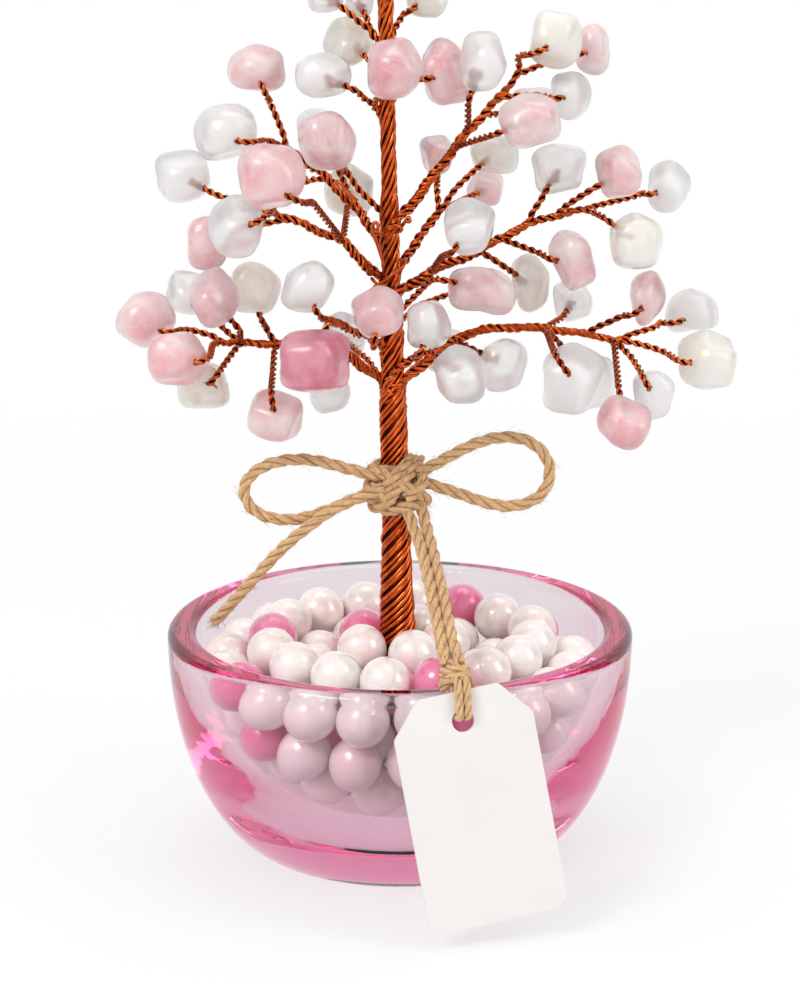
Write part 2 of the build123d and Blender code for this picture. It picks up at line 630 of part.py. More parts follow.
def give_way(stone, way, much):
    """Moves a stone, sooner in depth than across the view."""
    lean = unit((way[0], way[1] * 2, way[2]))
    stone.place = add(stone.place, lean, min(much / max(0.3, dot(lean, way)), stone_size / 8))


def settle(stones, stems):
    """Pushes the stones apart and off the wires that pass them."""
    trunk_runs = [(trunk_point(0), trunk_point(tree_height), trunk_radius(1))]
    stem_runs = []
    for stem in stems:
        for number in range(len(stem.points) - 1):
            stem_runs.append((stem.points[number], stem.points[number + 1],
                              stem.diameter(number) / 2))
    for _ in range(stone_rounds):
        twig_runs = [(stone, stone.wire_points()) for stone in stones]
        for number, stone in enumerate(stones):
            for other in stones[:number]:
                if size_of(add(stone.place, other.place, -1)) > 2 * stone_size:
                    continue
                much, way = part_gap(stone, other)
                if much > 0:
                    give_way(other, way, much / 2)
                    give_way(stone, tuple(-p for p in way), much / 2)
            for start, end, radius in trunk_runs + stem_runs:
                much, way = wire_gap(stone, start, end, radius)
                if much > 0:
                    give_way(stone, way, much)
            for owner, (start, outside, inside) in twig_runs:
                much, way = wire_gap(stone, start, outside, twig_diameter / 2)
                if much > 0:
                    give_way(stone, way, much)


def limbs():
    """Stems, twigs and stones of the whole crown."""
    stems = []
    stones = []
    for name, (pixels, rows) in limb_pixels.items():
        stem = Stem(name, pixels)
        stems.append(stem)
        for row in rows:
            stones.append(Stone(len(stones), row, stem))
    settle(stones, stems)
    for stem in stems:
        wires = [stem.solid()] + [stone.twig() for stone in stones if stone.stem is stem]
        save(f"branch_{stem.name}", wires)
    groups = {}
    for stone in stones:
        region = stone.stem.name.split("_")[0]
        if region in ("left", "right"):
            level = "low" if stone.place[2] < tree_height * fork_height_shares[1] else "high"
            region = f"{region}_{level}"
        groups.setdefault(f"{stone.colour}_stones_{region}", []).append(stone.solid())
    for name, solids in groups.items():
        save(name, solids)


def cord(route, ends=0.0):
    """A twine: straight runs joined by tangent arcs as large as the runs allow."""
    radii = []
    for before, here, after in zip(route, route[1:], route[2:]):
        turn = Vector(*add(here, before, -1)).get_angle(Vector(*add(after, here, -1)))
        run = min(size_of(add(here, before, -1)), size_of(add(after, here, -1)))
        radii.append(0.45 * run / math.tan(math.radians(turn) / 2))
    path = FilletPolyline(*route, radius=radii)
    tube = sweep(Plane(origin=path @ 0, z_dir=path % 0) * Circle(twine_diameter / 2), path=path)
    section = math.pi * twine_diameter ** 2 / 4
    print("twine", round(path.length, 1), "mm, radii", [round(radius, 1) for radius in radii],
          "volume share", round(tube.volume / (section * path.length), 4))
    return tube


def bow_knot():
    """The bow's knot: turns of twine round the trunk and a standing turn in front."""
    reach = trunk_radius(0) + knot_gap + twine_diameter / 2
    middle = trunk_point(knot_height)
    rises = [(step - (wrap_count - 1) / 2) * wrap_spacing for step in range(wrap_count)]
    section = Sketch() + [Pos(reach, rise) * Circle(twine_diameter / 2) for rise in rises]
    section += Pos(reach, 0) * Rectangle(twine_diameter * wrap_core_share, rises[-1] - rises[0])
    knot = Pos(*middle) * revolve(Plane.XZ * section, Axis.Z)
    front = reach + cinch_radius
    for side in (-1, 1):
        turn = Rot(0, 90 + side * cinch_lean, 0) * Torus(cinch_radius, twine_diameter / 2)
        knot += Pos(middle[0] + (side + 0.5) * cinch_shift, middle[1] - front, middle[2]) * turn
    core = Cylinder(cinch_radius, twine_diameter * cinch_core_share, rotation=(0, 90, 0))
    return knot + Pos(middle[0] + cinch_shift / 2, middle[1] - front, middle[2]) * core


def tag_frame():
    """The tag's own frame at its hole: X across it, Y up it, Z out of its front."""
    bearing = math.radians(tag_bearing)
    lean = math.radians(tag_lean)
    out = (math.sin(bearing), -math.cos(bearing), 0)
    reach = rim_radius + tag_clear_of_rim + tag_hang_drop * math.tan(lean)
    origin = add((0, 0, bowl_height - tag_hang_drop), out, reach)
    front = add(tuple(p * math.cos(lean) for p in out), (0, 0, 1), math.sin(lean))
    across = (math.cos(bearing), math.sin(bearing), 0)
    return Plane(origin=origin, x_dir=across, z_dir=front)


def rim_knot_place():
    bearing = math.radians(tag_bearing)
    height = bowl_height + rim_knot_clearance + twine_diameter
    return (rim_knot_reach * math.sin(bearing), -rim_knot_reach * math.cos(bearing), height)


def rim_knot():
    """The small knot on the rim: two turns of twine round the line that the tag lifts about."""
    across = (math.cos(math.radians(tag_bearing)), math.sin(math.radians(tag_bearing)), 0)
    frame = Plane(origin=rim_knot_place(), z_dir=across)
    turns = [frame * Pos(0, 0, side * twine_diameter / 2) * Torus(twine_diameter / 2,
                                                                 twine_diameter / 2 * 0.999)
             for side in (-1, 1)]
    middle = frame * Cylinder(twine_diameter / 2, twine_diameter)
    return turns[0] + turns[1] + middle


def tag_loops():
    """Two strands side by side, from the small knot through the tag's hole and back."""
    plane = tag_frame()
    knot = plane.to_local_coords(Vector(*rim_knot_place()))
    over = tag_hole_drop + loop_strand_diameter / 2 + loop_clearance
    low = loop_rise_in_hole
    loops = []
    for side in (-1, 1):
        across = side * loop_spacing / 2
        points = [
            (across, knot.Y + twine_diameter / 4, knot.Z + twine_diameter / 2),
            (across, over + loop_clearance, loop_bend),
            (across, low, loop_bend),
            (across, low, -loop_bend),
            (across, over - loop_bend, -loop_bend),
            (across, knot.Y - twine_diameter / 4, knot.Z + twine_diameter / 4),
        ]
        radii = [loop_bend * 0.95] * 3 + [loop_bend * 0.9]
        path = FilletPolyline(*[plane.from_local_coords(Vector(*point)) for point in points],
                              radius=radii)
        loops.append(sweep(Plane(origin=path @ 0, z_dir=path % 0)
                           * Circle(loop_strand_diameter / 2), path=path))
    return loops


def tag():
    """The plain card tag: cut top corners, rounded bottom corners and a punched hole."""
    half = tag_width / 2
    top = tag_hole_drop
    bottom = top - tag_length
    sketch = Polygon(
        (-half + tag_chamfer_across, top), (half - tag_chamfer_across, top),
        (half, top - tag_chamfer_down), (half, bottom), (-half, bottom),
        (-half, top - tag_chamfer_down), align=None)
    corners = sketch.vertices().group_by(Axis.Y)
    sketch = fillet(corners[0], tag_corner_radius)
    corners = sketch.vertices().group_by(Axis.Y)
    sketch = fillet(corners[-1] + corners[-2], tag_chamfer_softening)
    card = extrude(Rot(0, 0, tag_tilt) * sketch - Circle(tag_hole_diameter / 2),
                   tag_thickness / 2, both=True)
    return tag_frame() * card


def pearls():
    """The pearls, cream but for those picked out in pink."""
    cream = []
    pink = []
    for number, place in enumerate(pearl_places()):
        pearl = Pos(*place) * Sphere(pearl_diameter / 2)
        (pink if number % 5 == 2 else cream).append(pearl)
    save("pearls_cream", cream)
    save("pearls_pink", pink)


save("bowl", [bowl()])
pearls()
root_wires = roots()
save("root_wires", root_wires)
save("glue_core", [glue_core(root_wires)])
trunk()
limbs()
save("bow_knot", [bow_knot()])
for cord_name, cord_route in (
    ("bow_loop_left", left_loop_route), ("bow_loop_right", right_loop_route),
    ("bow_tail", left_tail_route), ("tag_string_left", left_string_route),
    ("tag_string_right", right_string_route),
):
    save(cord_name, [cord(cord_route)])
save("rim_knot", [rim_knot()])
save("tag_loop", tag_loops())
save("tag", [tag()])
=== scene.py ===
import bmesh
import bpy
import math
import numpy as np
import random
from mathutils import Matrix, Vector, noise
from mathutils.bvhtree import BVHTree


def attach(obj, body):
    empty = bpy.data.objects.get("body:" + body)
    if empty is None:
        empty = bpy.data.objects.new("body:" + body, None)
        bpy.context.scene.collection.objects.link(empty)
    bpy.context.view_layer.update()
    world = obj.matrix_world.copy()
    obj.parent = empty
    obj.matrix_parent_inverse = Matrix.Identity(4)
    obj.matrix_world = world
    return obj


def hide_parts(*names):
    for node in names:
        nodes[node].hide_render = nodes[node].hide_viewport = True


# Gemstone tree in a glass bowl, in metres, in the frame of the CAD part. Numbers that the code
# multiplies by mm where it uses them are in millimetres.
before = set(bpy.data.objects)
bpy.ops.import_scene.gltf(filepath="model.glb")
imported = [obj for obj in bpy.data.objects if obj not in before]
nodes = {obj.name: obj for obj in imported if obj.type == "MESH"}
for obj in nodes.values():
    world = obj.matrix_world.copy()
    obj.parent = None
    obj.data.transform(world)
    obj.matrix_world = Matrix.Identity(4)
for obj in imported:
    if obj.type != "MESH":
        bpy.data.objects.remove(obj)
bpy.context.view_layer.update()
scene = bpy.context.scene
random.seed(11)
mm = 0.001

# Camera
cameraSetup = {"place": (0, -0.47728, 0.18552), "tilt": 74.9, "lens": 112.86, "sensor": 36.0}


def makeCamera():
    data = bpy.data.cameras.new("studioCamera")
    data.sensor_fit = "VERTICAL"
    data.sensor_height = cameraSetup["sensor"]
    data.sensor_width = cameraSetup["sensor"]
    data.lens = cameraSetup["lens"]
    data.clip_start = 0.01
    camera = bpy.data.objects.new("studioCamera", data)
    camera.location = cameraSetup["place"]
    camera.rotation_euler = (math.radians(cameraSetup["tilt"]), 0, 0)
    scene.collection.objects.link(camera)
    scene.camera = camera


makeCamera()
print("camera placed")


# Shader sockets for plain expressions, and the one method that adds nodes
class Socket:
    def __init__(self, owner, out):
        self.owner = owner
        self.out = out

    def maths(self, operation, first, second):
        return self.owner.add("ShaderNodeMath", {"operation": operation}, {0: first, 1: second})

    def __add__(self, other):
        return self.maths("ADD", self, other)

    __radd__ = __add__

    def __sub__(self, other):
        return self.maths("SUBTRACT", self, other)

    def __rsub__(self, other):
        return self.maths("SUBTRACT", other, self)

    def __mul__(self, other):
        return self.maths("MULTIPLY", self, other)

    __rmul__ = __mul__

    def __abs__(self):
        return self.maths("ABSOLUTE", self, 0.0)

    def orMore(self, other):
        return self.maths("MAXIMUM", self, other)

    def clamped(self):
        return self.owner.add("ShaderNodeClamp", {}, {"Value": self, "Min": 0.0, "Max": 1.0})


class NodeTree:
    def __init__(self, tree):
        self.tree = tree

    def add(self, kind, settings, sockets, out=0):
        node = self.tree.nodes.new(kind)
        for key, value in settings.items():
            if key == "stops":
                while len(node.color_ramp.elements) < len(value):
                    node.color_ramp.elements.new(0.5)
                for element, (place, shade) in zip(node.color_ramp.elements, value):
                    element.position = place
                    element.color = (*shade, 1)
            else:
                setattr(node, key, value)
        for key, value in sockets.items():
            self.feed(node.inputs[key], value)
        return Socket(self, node.outputs[out]) if node.outputs else None

    def feed(self, target, value):
        if isinstance(value, Socket):
            self.tree.links.new(value.out, target)
        elif target.type == "RGBA" and len(value) == 3:
            target.default_value = (*value, 1)
        else:
            target.default_value = value

    def places(self):
        return self.add("ShaderNodeTexCoord", {}, {}, "Object")

    def carried(self, name, out="Fac"):
        return self.add("ShaderNodeAttribute", {"attribute_name": name}, {}, out)

    def noise(self, vector, scale, detail=3.0, rough=0.5):
        return self.add("ShaderNodeTexNoise", {}, {"Vector": vector, "Scale": scale,
                                                   "Detail": detail, "Roughness": rough})

    def stretched(self, vector, shares):
        return self.add("ShaderNodeVectorMath", {"operation": "MULTIPLY"}, {0: vector, 1: shares})

    def shifted(self, vector, other):
        return self.add("ShaderNodeVectorMath", {"operation": "ADD"}, {0: vector, 1: other})

    def shades(self, value, stops):
        return self.add("ShaderNodeValToRGB", {"stops": stops}, {"Fac": value})

    def mixed(self, share, first, second):
        return self.add("ShaderNodeMix", {"data_type": "RGBA"}, {0: share, 6: first, 7: second}, 2)

    def ranged(self, value, low, high, toLow=0.0, toHigh=1.0):
        return self.add("ShaderNodeMapRange", {}, {
            "Value": value, "From Min": low, "From Max": high, "To Min": toLow, "To Max": toHigh})

    def anyRay(self, *kinds):
        rays = [self.add("ShaderNodeLightPath", {}, {}, f"Is {kind} Ray") for kind in kinds]
        share = rays[0]
        for ray in rays[1:]:
            share = share.orMore(ray)
        return share


class Finish(NodeTree):
    def __init__(self, name, **constants):
        self.material = bpy.data.materials.new(name)
        self.material.use_nodes = True
        super().__init__(self.material.node_tree)
        self.shader = self.tree.nodes["Principled BSDF"]
        self.result = self.tree.nodes["Material Output"]
        self.set(**constants)

    def set(self, **values):
        for key, value in values.items():
            self.feed(self.shader.inputs[key.replace("_", " ")], value)

    def bumped(self, height, distance, strength):
        self.set(Normal=self.add("ShaderNodeBump", {}, {
            "Height": height, "Distance": distance, "Strength": strength}))

    def covered(self, share, other):
        own = Socket(self, self.shader.outputs[0])
        self.feed(self.result.inputs["Surface"],
                  self.add("ShaderNodeMixShader", {}, {0: share, 1: own, 2: other}))


# Round wires, yarns and plies, gathered into one mesh.
def unit(ways):
    return ways / np.maximum(np.linalg.norm(ways, axis=1, keepdims=True), 1e-12)


def tangents(line):
    return unit(np.gradient(line, axis=0))


def squared(ahead, guide):
    return unit(guide - ahead * np.sum(ahead * guide, axis=1, keepdims=True))


def carriedSide(line):
    ahead = tangents(line)
    side = np.array((0.0, 0.0, 1.0) if abs(ahead[0][2]) < 0.8 else (1.0, 0.0, 0.0))
    sides = np.empty_like(line)
    for step, way in enumerate(ahead):
        side = side - way * side.dot(way)
        side = side / math.sqrt(side.dot(side))
        sides[step] = side
    return sides


def lengths(line):
    steps = np.linalg.norm(np.diff(line, axis=0), axis=1)
    return np.concatenate(([0.0], np.cumsum(steps)))


def evenLine(points, step):
    points = np.asarray(points, dtype=float)
    along = lengths(points)
    count = max(4, int(along[-1] / step) + 1)
    places = np.linspace(0, along[-1], count)
    return np.stack([np.interp(places, along, points[:, k]) for k in range(3)], axis=1)


def softened(line, rounds):
    line = line.copy()
    for _ in range(rounds):
        line[1:-1] = (line[:-2] + 2 * line[1:-1] + line[2:]) / 4
    return line


def woundLine(line, side, radius, turns):
    ahead = tangents(line)
    side = squared(ahead, side)
    across = np.cross(ahead, side)
    out = np.cos(turns)[:, None] * side + np.sin(turns)[:, None] * across
    return line + out * np.broadcast_to(radius, (len(line),))[:, None], out


class Yarns:
    def __init__(self):
        self.places, self.faces, self.lay, self.tone, self.outward = [], [], [], [], []
        self.count = 0

    def add(self, line, side, radius, sides, tone, twist=0.0, capped=True):
        ahead = tangents(line)
        side = squared(ahead, side)
        across = np.cross(ahead, side)
        radius = np.broadcast_to(radius, (len(line),))[:, None, None]
        angles = np.arange(sides) * 2 * math.pi / sides
        ring = (np.cos(angles)[None, :, None] * side[:, None, :]
                + np.sin(angles)[None, :, None] * across[:, None, :])
        along = lengths(line)
        self.places.append((line[:, None, :] + ring * radius).reshape(-1, 3))
        turned = angles[None, :] + twist * along[:, None] * 2 * math.pi
        far = np.broadcast_to(along[:, None] / mm, turned.shape)
        lay = np.stack([np.cos(turned), np.sin(turned), far], axis=2)
        self.lay.append(lay.reshape(-1, 3))
        self.tone.append(np.full(len(line) * sides, tone))
        outward = np.cos(angles) if sides > 3 else np.ones(sides)  # fibres get no painted groove shade
        self.outward.append(np.tile(outward, len(line)))
        rows = np.arange(len(line) - 1)[:, None] * sides
        spots = np.arange(sides)[None, :]
        after = (spots + 1) % sides
        quads = np.stack([rows + spots, rows + after, rows + sides + after, rows + sides + spots],
                         axis=2).reshape(-1, 4) + self.count
        self.faces += quads.tolist()
        if capped:
            last = self.count + (len(line) - 1) * sides
            self.faces.append([self.count + k for k in reversed(range(sides))])
            self.faces.append([last + k for k in range(sides)])
        self.count += len(line) * sides

    def piece(self, name, finish):
        mesh = bpy.data.meshes.new(name)
        mesh.from_pydata(np.concatenate(self.places).tolist(), [], self.faces)
        mesh.polygons.foreach_set("use_smooth", [len(face) == 4 for face in self.faces])
        store(mesh, "lay", np.concatenate(self.lay))
        store(mesh, "tone", np.concatenate(self.tone))
        store(mesh, "outward", np.concatenate(self.outward))
        return shown(name, mesh, finish)


def store(mesh, name, values):
    values = np.asarray(values, dtype=np.float32)
    kind, part = ("FLOAT_VECTOR", "vector") if values.ndim == 2 else ("FLOAT", "value")
    field = mesh.attributes.new(name=name, type=kind, domain="POINT")
    field.data.foreach_set(part, values.ravel())


def shown(name, mesh, finish):
    piece = bpy.data.objects.new(name, mesh)
    scene.collection.objects.link(piece)
    mesh.materials.append(finish.material)
    return piece


def dressed(name, finish):
    materials = nodes[name].data.materials
    materials.clear()
    materials.append(finish.material)


# Twine
twineSetup = {
    "thick": 1.8 * mm, "plies": 3, "plyRadius": 0.5 * mm, "plyReach": 0.46 * mm, "lay": 8.0 * mm,
    "pale": (0.95, 0.645, 0.34), "tan": (0.62, 0.33, 0.12), "dark": (0.12, 0.05, 0.02),
    # painted shade: the dark colour put into the creases between plies and between wires
    "paintedGrooveShade": (0.27, 0.10, 0.03),
    "spotted": (0.66, 0.40, 0.18), "step": 0.25 * mm, "sides": 12, "twist": 180,
    "uneven": 0.05, "unevenEvery": 2.3 * mm, "unevenShift": 2.1,
    "fuzzEvery": 0.22 * mm, "fuzzRadius": 0.022 * mm, "fuzzLength": (0.6, 3.2), "fuzzRoot": 0.42,
    "fuzzLift": (0.05, 0.7), "fuzzLiftMost": 1.6 * mm, "fuzzDroop": (-0.35, 0.2), "fuzzPoints": 7,
    "frayCount": 46, "frayPoints": 8, "fraySpread": 0.5, "frayRadius": 0.04 * mm,
    "frayTip": (0.3, 1.4),
}
twineRoutes = {
    "bow_loop_left": [
        (-0.0025, -0.0046, 0.0616), (-0.0085, -0.006, 0.0635), (-0.0135, -0.0065, 0.065),
        (-0.018, -0.0065, 0.065), (-0.022, -0.006, 0.0636), (-0.0246, -0.0055, 0.0606),
        (-0.0238, -0.005, 0.057), (-0.0205, -0.0045, 0.0549), (-0.016, -0.004, 0.0545),
        (-0.011, -0.004, 0.0562), (-0.0032, -0.0041, 0.0596)],
    "bow_loop_right": [
        (0.003, -0.0046, 0.0624), (0.0075, -0.006, 0.0653), (0.0115, -0.0065, 0.0676),
        (0.016, -0.007, 0.0689), (0.0202, -0.007, 0.0682), (0.023, -0.0065, 0.0653),
        (0.0234, -0.006, 0.0616), (0.0218, -0.0055, 0.0586), (0.0183, -0.005, 0.057),
        (0.014, -0.0045, 0.0572), (0.0095, -0.0045, 0.0589), (0.0036, -0.0042, 0.0608)],
    "bow_tail": [
        (-0.0026, -0.0064, 0.0604), (-0.0085, -0.0073, 0.0586), (-0.0135, -0.007, 0.055),
        (-0.0185, -0.0055, 0.0505), (-0.0225, -0.004, 0.0456), (-0.0264, -0.002, 0.0406),
        (-0.0296, 0, 0.0366)],
    "tag_string_left": [
        (0.001, -0.0056, 0.0572), (0.0029, -0.0113, 0.0533), (0.0043, -0.017, 0.0494),
        (0.0054, -0.024, 0.045), (0.00635, -0.0295, 0.0417), (0.0069, -0.0327, 0.0399)],
    "tag_string_right": [
        (0.0032, -0.005, 0.0576), (0.00465, -0.011, 0.053), (0.00605, -0.0168, 0.0492),
        (0.00715, -0.0238, 0.0449), (0.0081, -0.0293, 0.0417), (0.00902, -0.0324, 0.0399)],
}


def twineFinish():
    jute = Finish("juteTwine", Roughness=0.85)
    jute.set(Sheen_Weight=0.35, Sheen_Roughness=0.5)
    lay = jute.carried("lay", "Vector")
    fibres = jute.noise(jute.stretched(lay, (2.2, 2.2, 0.35)), 3.0, 5.0, 0.65)
    patches = jute.noise(jute.stretched(lay, (0.6, 0.6, 0.5)), 1.0, 2.0)
    flecks = jute.noise(jute.shifted(jute.stretched(lay, (1.4, 1.4, 0.55)), (7, 3, 1)), 2.1, 3.0)
    tint = jute.mixed(jute.ranged(fibres, 0.38, 0.6), twineSetup["tan"], twineSetup["pale"])
    tint = jute.mixed(jute.ranged(patches, 0.45, 0.7, 0.0, 0.4), tint, twineSetup["spotted"])
    tint = jute.mixed(jute.ranged(flecks, 0.59, 0.68, 0.0, 0.8), tint, twineSetup["dark"])
    # painted shade: each ply darkened on its inner side, where it presses on the other plies
    paintedGrooveShade = jute.ranged(jute.carried("outward"), 0.3, -0.4, 0.0, 0.85)
    tint = jute.mixed(paintedGrooveShade, tint, twineSetup["paintedGrooveShade"])
    jute.set(Base_Color=tint)
    jute.bumped(fibres, 0.12 * mm, 0.9)
    return jute


def routeLine(name, route):
    curve = bpy.data.curves.new(name, "CURVE")
    curve.dimensions = "3D"
    curve.resolution_u = 24
    spline = curve.splines.new("NURBS")
    spline.points.add(len(route) - 1)
    for point, place in zip(spline.points, route):
        point.co = (*place, 1)
    spline.order_u = 3
    spline.use_endpoint_u = True
    guide = bpy.data.objects.new(name, curve)
    scene.collection.objects.link(guide)
    bpy.context.view_layer.update()
    mesh = bpy.data.meshes.new_from_object(guide)
    line = np.array([vert.co for vert in mesh.vertices])
    bpy.data.objects.remove(guide)
    bpy.data.meshes.remove(mesh)
    return evenLine(line, twineSetup["step"])


def laidTwine(yarns, line, thick, phases=6):
    start = random.random() * phases
    scale = thick / twineSetup["thick"]
    side = carriedSide(line)
    along = lengths(line)
    plies = twineSetup["plies"]
    for ply in range(plies):
        turns = 2 * math.pi * (along / (twineSetup["lay"] * scale) + ply / plies) + start
        wave = np.sin(along / twineSetup["unevenEvery"] + twineSetup["unevenShift"] * ply)
        radius = twineSetup["plyRadius"] * scale * (1 + twineSetup["uneven"] * wave)
        path, out = woundLine(line, side, twineSetup["plyReach"] * scale, turns)
        yarns.add(path, out, radius, twineSetup["sides"], random.random(), twineSetup["twist"])


def fuzz(hairs, line, thick, every=1.0):
    side = carriedSide(line)
    ahead = tangents(line)
    across = np.cross(ahead, side)
    for _ in range(int(lengths(line)[-1] / twineSetup["fuzzEvery"] * every)):
        here = random.randrange(len(line))
        angle = random.uniform(0, 2 * math.pi)
        out = math.cos(angle) * side[here] + math.sin(angle) * across[here]
        way = random.choice((-1, 1))
        reach = random.uniform(*twineSetup["fuzzLength"]) * mm
        lift = random.uniform(*twineSetup["fuzzLift"]) * min(reach, twineSetup["fuzzLiftMost"])
        droop = random.uniform(*twineSetup["fuzzDroop"]) * lift
        share = np.linspace(0, 1, twineSetup["fuzzPoints"])[:, None]
        hair = (line[here] + out * (thick * twineSetup["fuzzRoot"] + lift * share ** 1.6)
                + ahead[here] * way * reach * (share - 0.2 * share ** 3)
                + np.cross(ahead[here], out) * droop * np.sin(2.6 * share)
                + np.array((0, 0, droop)) * share ** 2)
        hairs.add(hair, carriedSide(hair), twineSetup["fuzzRadius"], 3, random.random(), 0, False)


def frayedEnd(hairs, line):
    count = twineSetup["frayPoints"]
    share = np.linspace(0, 1, count)[:, None] ** 1.5
    for _ in range(twineSetup["frayCount"]):
        drift = np.array([random.gauss(0, twineSetup["fraySpread"]) * mm for _ in range(3)])
        fray = line[-count:] + share * drift
        tip = fray[-1:] + (fray[-1:] - fray[-3:-2]) * random.uniform(*twineSetup["frayTip"])
        fray = np.concatenate([fray, tip])
        hairs.add(fray, carriedSide(fray), twineSetup["frayRadius"], 3, random.random(), 0, False)


jute = twineFinish()
hairs = Yarns()
for cordName, route in twineRoutes.items():
    line = routeLine(cordName + "_line", route)
    yarns = Yarns()
    laidTwine(yarns, line, twineSetup["thick"], 1)
    if cordName == "bow_tail":
        frayedEnd(hairs, line)
    cord = yarns.piece(cordName + "_twine", jute)
    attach(cord, "root")
    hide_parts(cordName)
    fuzz(hairs, line, twineSetup["thick"])
print("twine: five cords laid")


# What the CAD solids say: each solid's corners and edges, and the route of a wire
readSetup = {
    "merge": 1e-6, "reaches": (0.16, 0.2, 0.25, 0.3, 0.36, 0.42), "leastRing": 12, "uneven": 0.2,
    "held": 0.8, "slice": 1.6 * mm, "leastSlice": 8, "wallShare": 60,
}


def solidsOf(name):
    work = bmesh.new()
    work.from_mesh(nodes[name].data)
    bmesh.ops.remove_doubles(work, verts=work.verts, dist=readSetup["merge"])
    done = set()
    solids = []
    for first in work.verts:
        if first in done:
            continue
        stack, part = [first], []
        done.add(first)
        while stack:
            vert = stack.pop()
            part.append(vert)
            for edge in vert.link_edges:
                other = edge.other_vert(vert)
                if other not in done:
                    done.add(other)
                    stack.append(other)
        index = {vert: number for number, vert in enumerate(part)}
        pairs = {tuple(sorted((index[edge.verts[0]], index[edge.verts[1]])))
                 for vert in part for edge in vert.link_edges}
        solids.append((np.array([vert.co[:] for vert in part]), np.array(sorted(pairs))))
    work.free()
    return solids


def ringsAt(places, pairs, reach):
    spans = np.linalg.norm(places[pairs[:, 0]] - places[pairs[:, 1]], axis=1)
    group = list(range(len(places)))

    def find(number):
        while group[number] != number:
            group[number] = group[group[number]]
            number = group[number]
        return number

    for first, second in pairs[spans < reach]:
        group[find(first)] = find(second)
    named = np.array([find(number) for number in range(len(places))])
    rings = {}
    held = 0
    for name in set(named.tolist()):
        spots = np.flatnonzero(named == name)
        if len(spots) < readSetup["leastRing"]:
            continue
        centre = places[spots].mean(axis=0)
        span = np.linalg.norm(places[spots] - centre, axis=1)
        if span.std() < readSetup["uneven"] * span.mean():
            rings[name] = (centre, span.mean())
            held += len(spots)
    return rings, held


def wireRoute(places, pairs):
    rings, held = max((ringsAt(places, pairs, reach * mm) for reach in readSetup["reaches"]),
                      key=lambda found: found[1])
    if held < readSetup["held"] * len(places):
        return slicedRoute(places)
    centres = np.array([ring[0] for ring in rings.values()])
    sizes = np.array([ring[1] for ring in rings.values()])
    middle = centres.mean(axis=0)
    here = int(np.argmax(np.linalg.norm(centres - middle, axis=1)))
    order = [here]
    left = set(range(len(centres))) - {here}
    while left:
        here = min(left, key=lambda other: np.linalg.norm(centres[other] - centres[order[-1]]))
        order.append(here)
        left.remove(here)
    return centres[order], sizes[order]


def slicedRoute(places):
    # a wire whose mesh has no clear rings is read in slices across its length
    middle = places.mean(axis=0)
    ahead = np.linalg.svd(places - middle, full_matrices=False)[2][0]
    along = (places - middle) @ ahead
    slices = max(3, int(np.ptp(along) / readSetup["slice"]))
    edges = np.linspace(along.min(), along.max(), slices + 1)
    centres, sizes = [], []
    for low, high in zip(edges, edges[1:]):
        held = places[(along >= low) & (along <= high)]
        if len(held) > readSetup["leastSlice"]:
            centre = (held.min(axis=0) + held.max(axis=0)) / 2
            centres.append(centre)
            across = (held - centre) - np.outer((held - centre) @ ahead, ahead)
            spans = np.linalg.norm(across, axis=1)
            sizes.append(np.percentile(spans, readSetup["wallShare"]))
    return np.array(centres), np.array(sizes)


# Wires: single ones laid round the trunk, twisted pairs along the branches
wireSetup = {
    "pairRadius": 0.285 * mm, "pairReach": 0.275 * mm, "pairLay": 3.0 * mm, "pairSides": 7,
    "stemLay": 7.5 * mm, "trunkLay": 14 * mm, "step": 0.22 * mm,
    # the groove colour is painted shade for the gaps between wires
    "bright": (0.96, 0.205, 0.042), "deep": (0.30, 0.036, 0.007), "paintedGrooveShade": (0.035, 0.006, 0.002),
    "pairTone": 0.25, "stemShare": 0.85, "stemInset": 0.35 * mm, "stemLeast": 0.1 * mm,
    "stemSpread": 0.62 * mm, "stemRoom": 1.1 * mm, "loneShare": 0.35, "innerShare": 0.3, "blur": 6,
    # hiddenShadeTone is painted shade: a low tone that darkens the pairs lying inside the stem
    "hiddenShadeTone": -0.5, "frontTone": 0.7, "frontPairs": 3, "rounds": 14, "stemRounds": 25,
    "trunkDrops": (4.2, 3.2, 2.3, 1.5, 0.7), "trunkFan": 0.42, "fanDrop": 3, "fanLift": 0.15,
    "fanSink": 0.22, "overStones": 0.65, "stoneNear": 7 * mm, "stoneSide": 2.5 * mm,
    "stoneRoom": 0.2 * mm, "overSide": 0.6 * mm, "overFront": 0.45 * mm, "overPower": 0.667,
    "overStart": 10, "overEnd": (60, 76), "overPoints": 8, "overDeep": 1.1, "overInset": 0.35,
}
trunkSetup = {
    "foot": 25.4 * mm, "top": 137.9 * mm, "footShift": -0.2 * mm, "lean": -2.3 * mm,
    "forks": (74.1 * mm, 88.4 * mm, 105.1 * mm, 137.5 * mm),
    "wires": (12, 10, 8, 7), "reach": (1.87 * mm, 1.56 * mm, 1.18 * mm, 0.92 * mm),
    "wireRadius": 0.32 * mm,
    "flare": 0.95 * mm, "flareLength": 30 * mm, "step": 0.25 * mm, "sides": 10,
    # coreShadeTone is painted shade: it turns the core inside the wires to the deep colour
    "below": 3.2 * mm, "above": 1.2 * mm, "coreInset": 0.12 * mm, "coreShadeTone": -2, "coreSides": 20,
    "looseRadius": 0.29 * mm, "looseSides": 9, "looseStep": 0.12 * mm, "looseRounds": 10,
    "stagger": 0.05, "slow": 0.07, "slowEvery": (3, 6), "quick": 0.09 * mm, "quickEvery": (2.2, 5),
    "reachVaries": (-0.04, 0.03), "wireVaries": (0.92, 1.04), "slender": 0.4, "coreEvery": 4,
    "footIn": (1.1, 3.0 * mm), "topIn": (0.8, 0.6 * mm, 1.8 * mm),
}
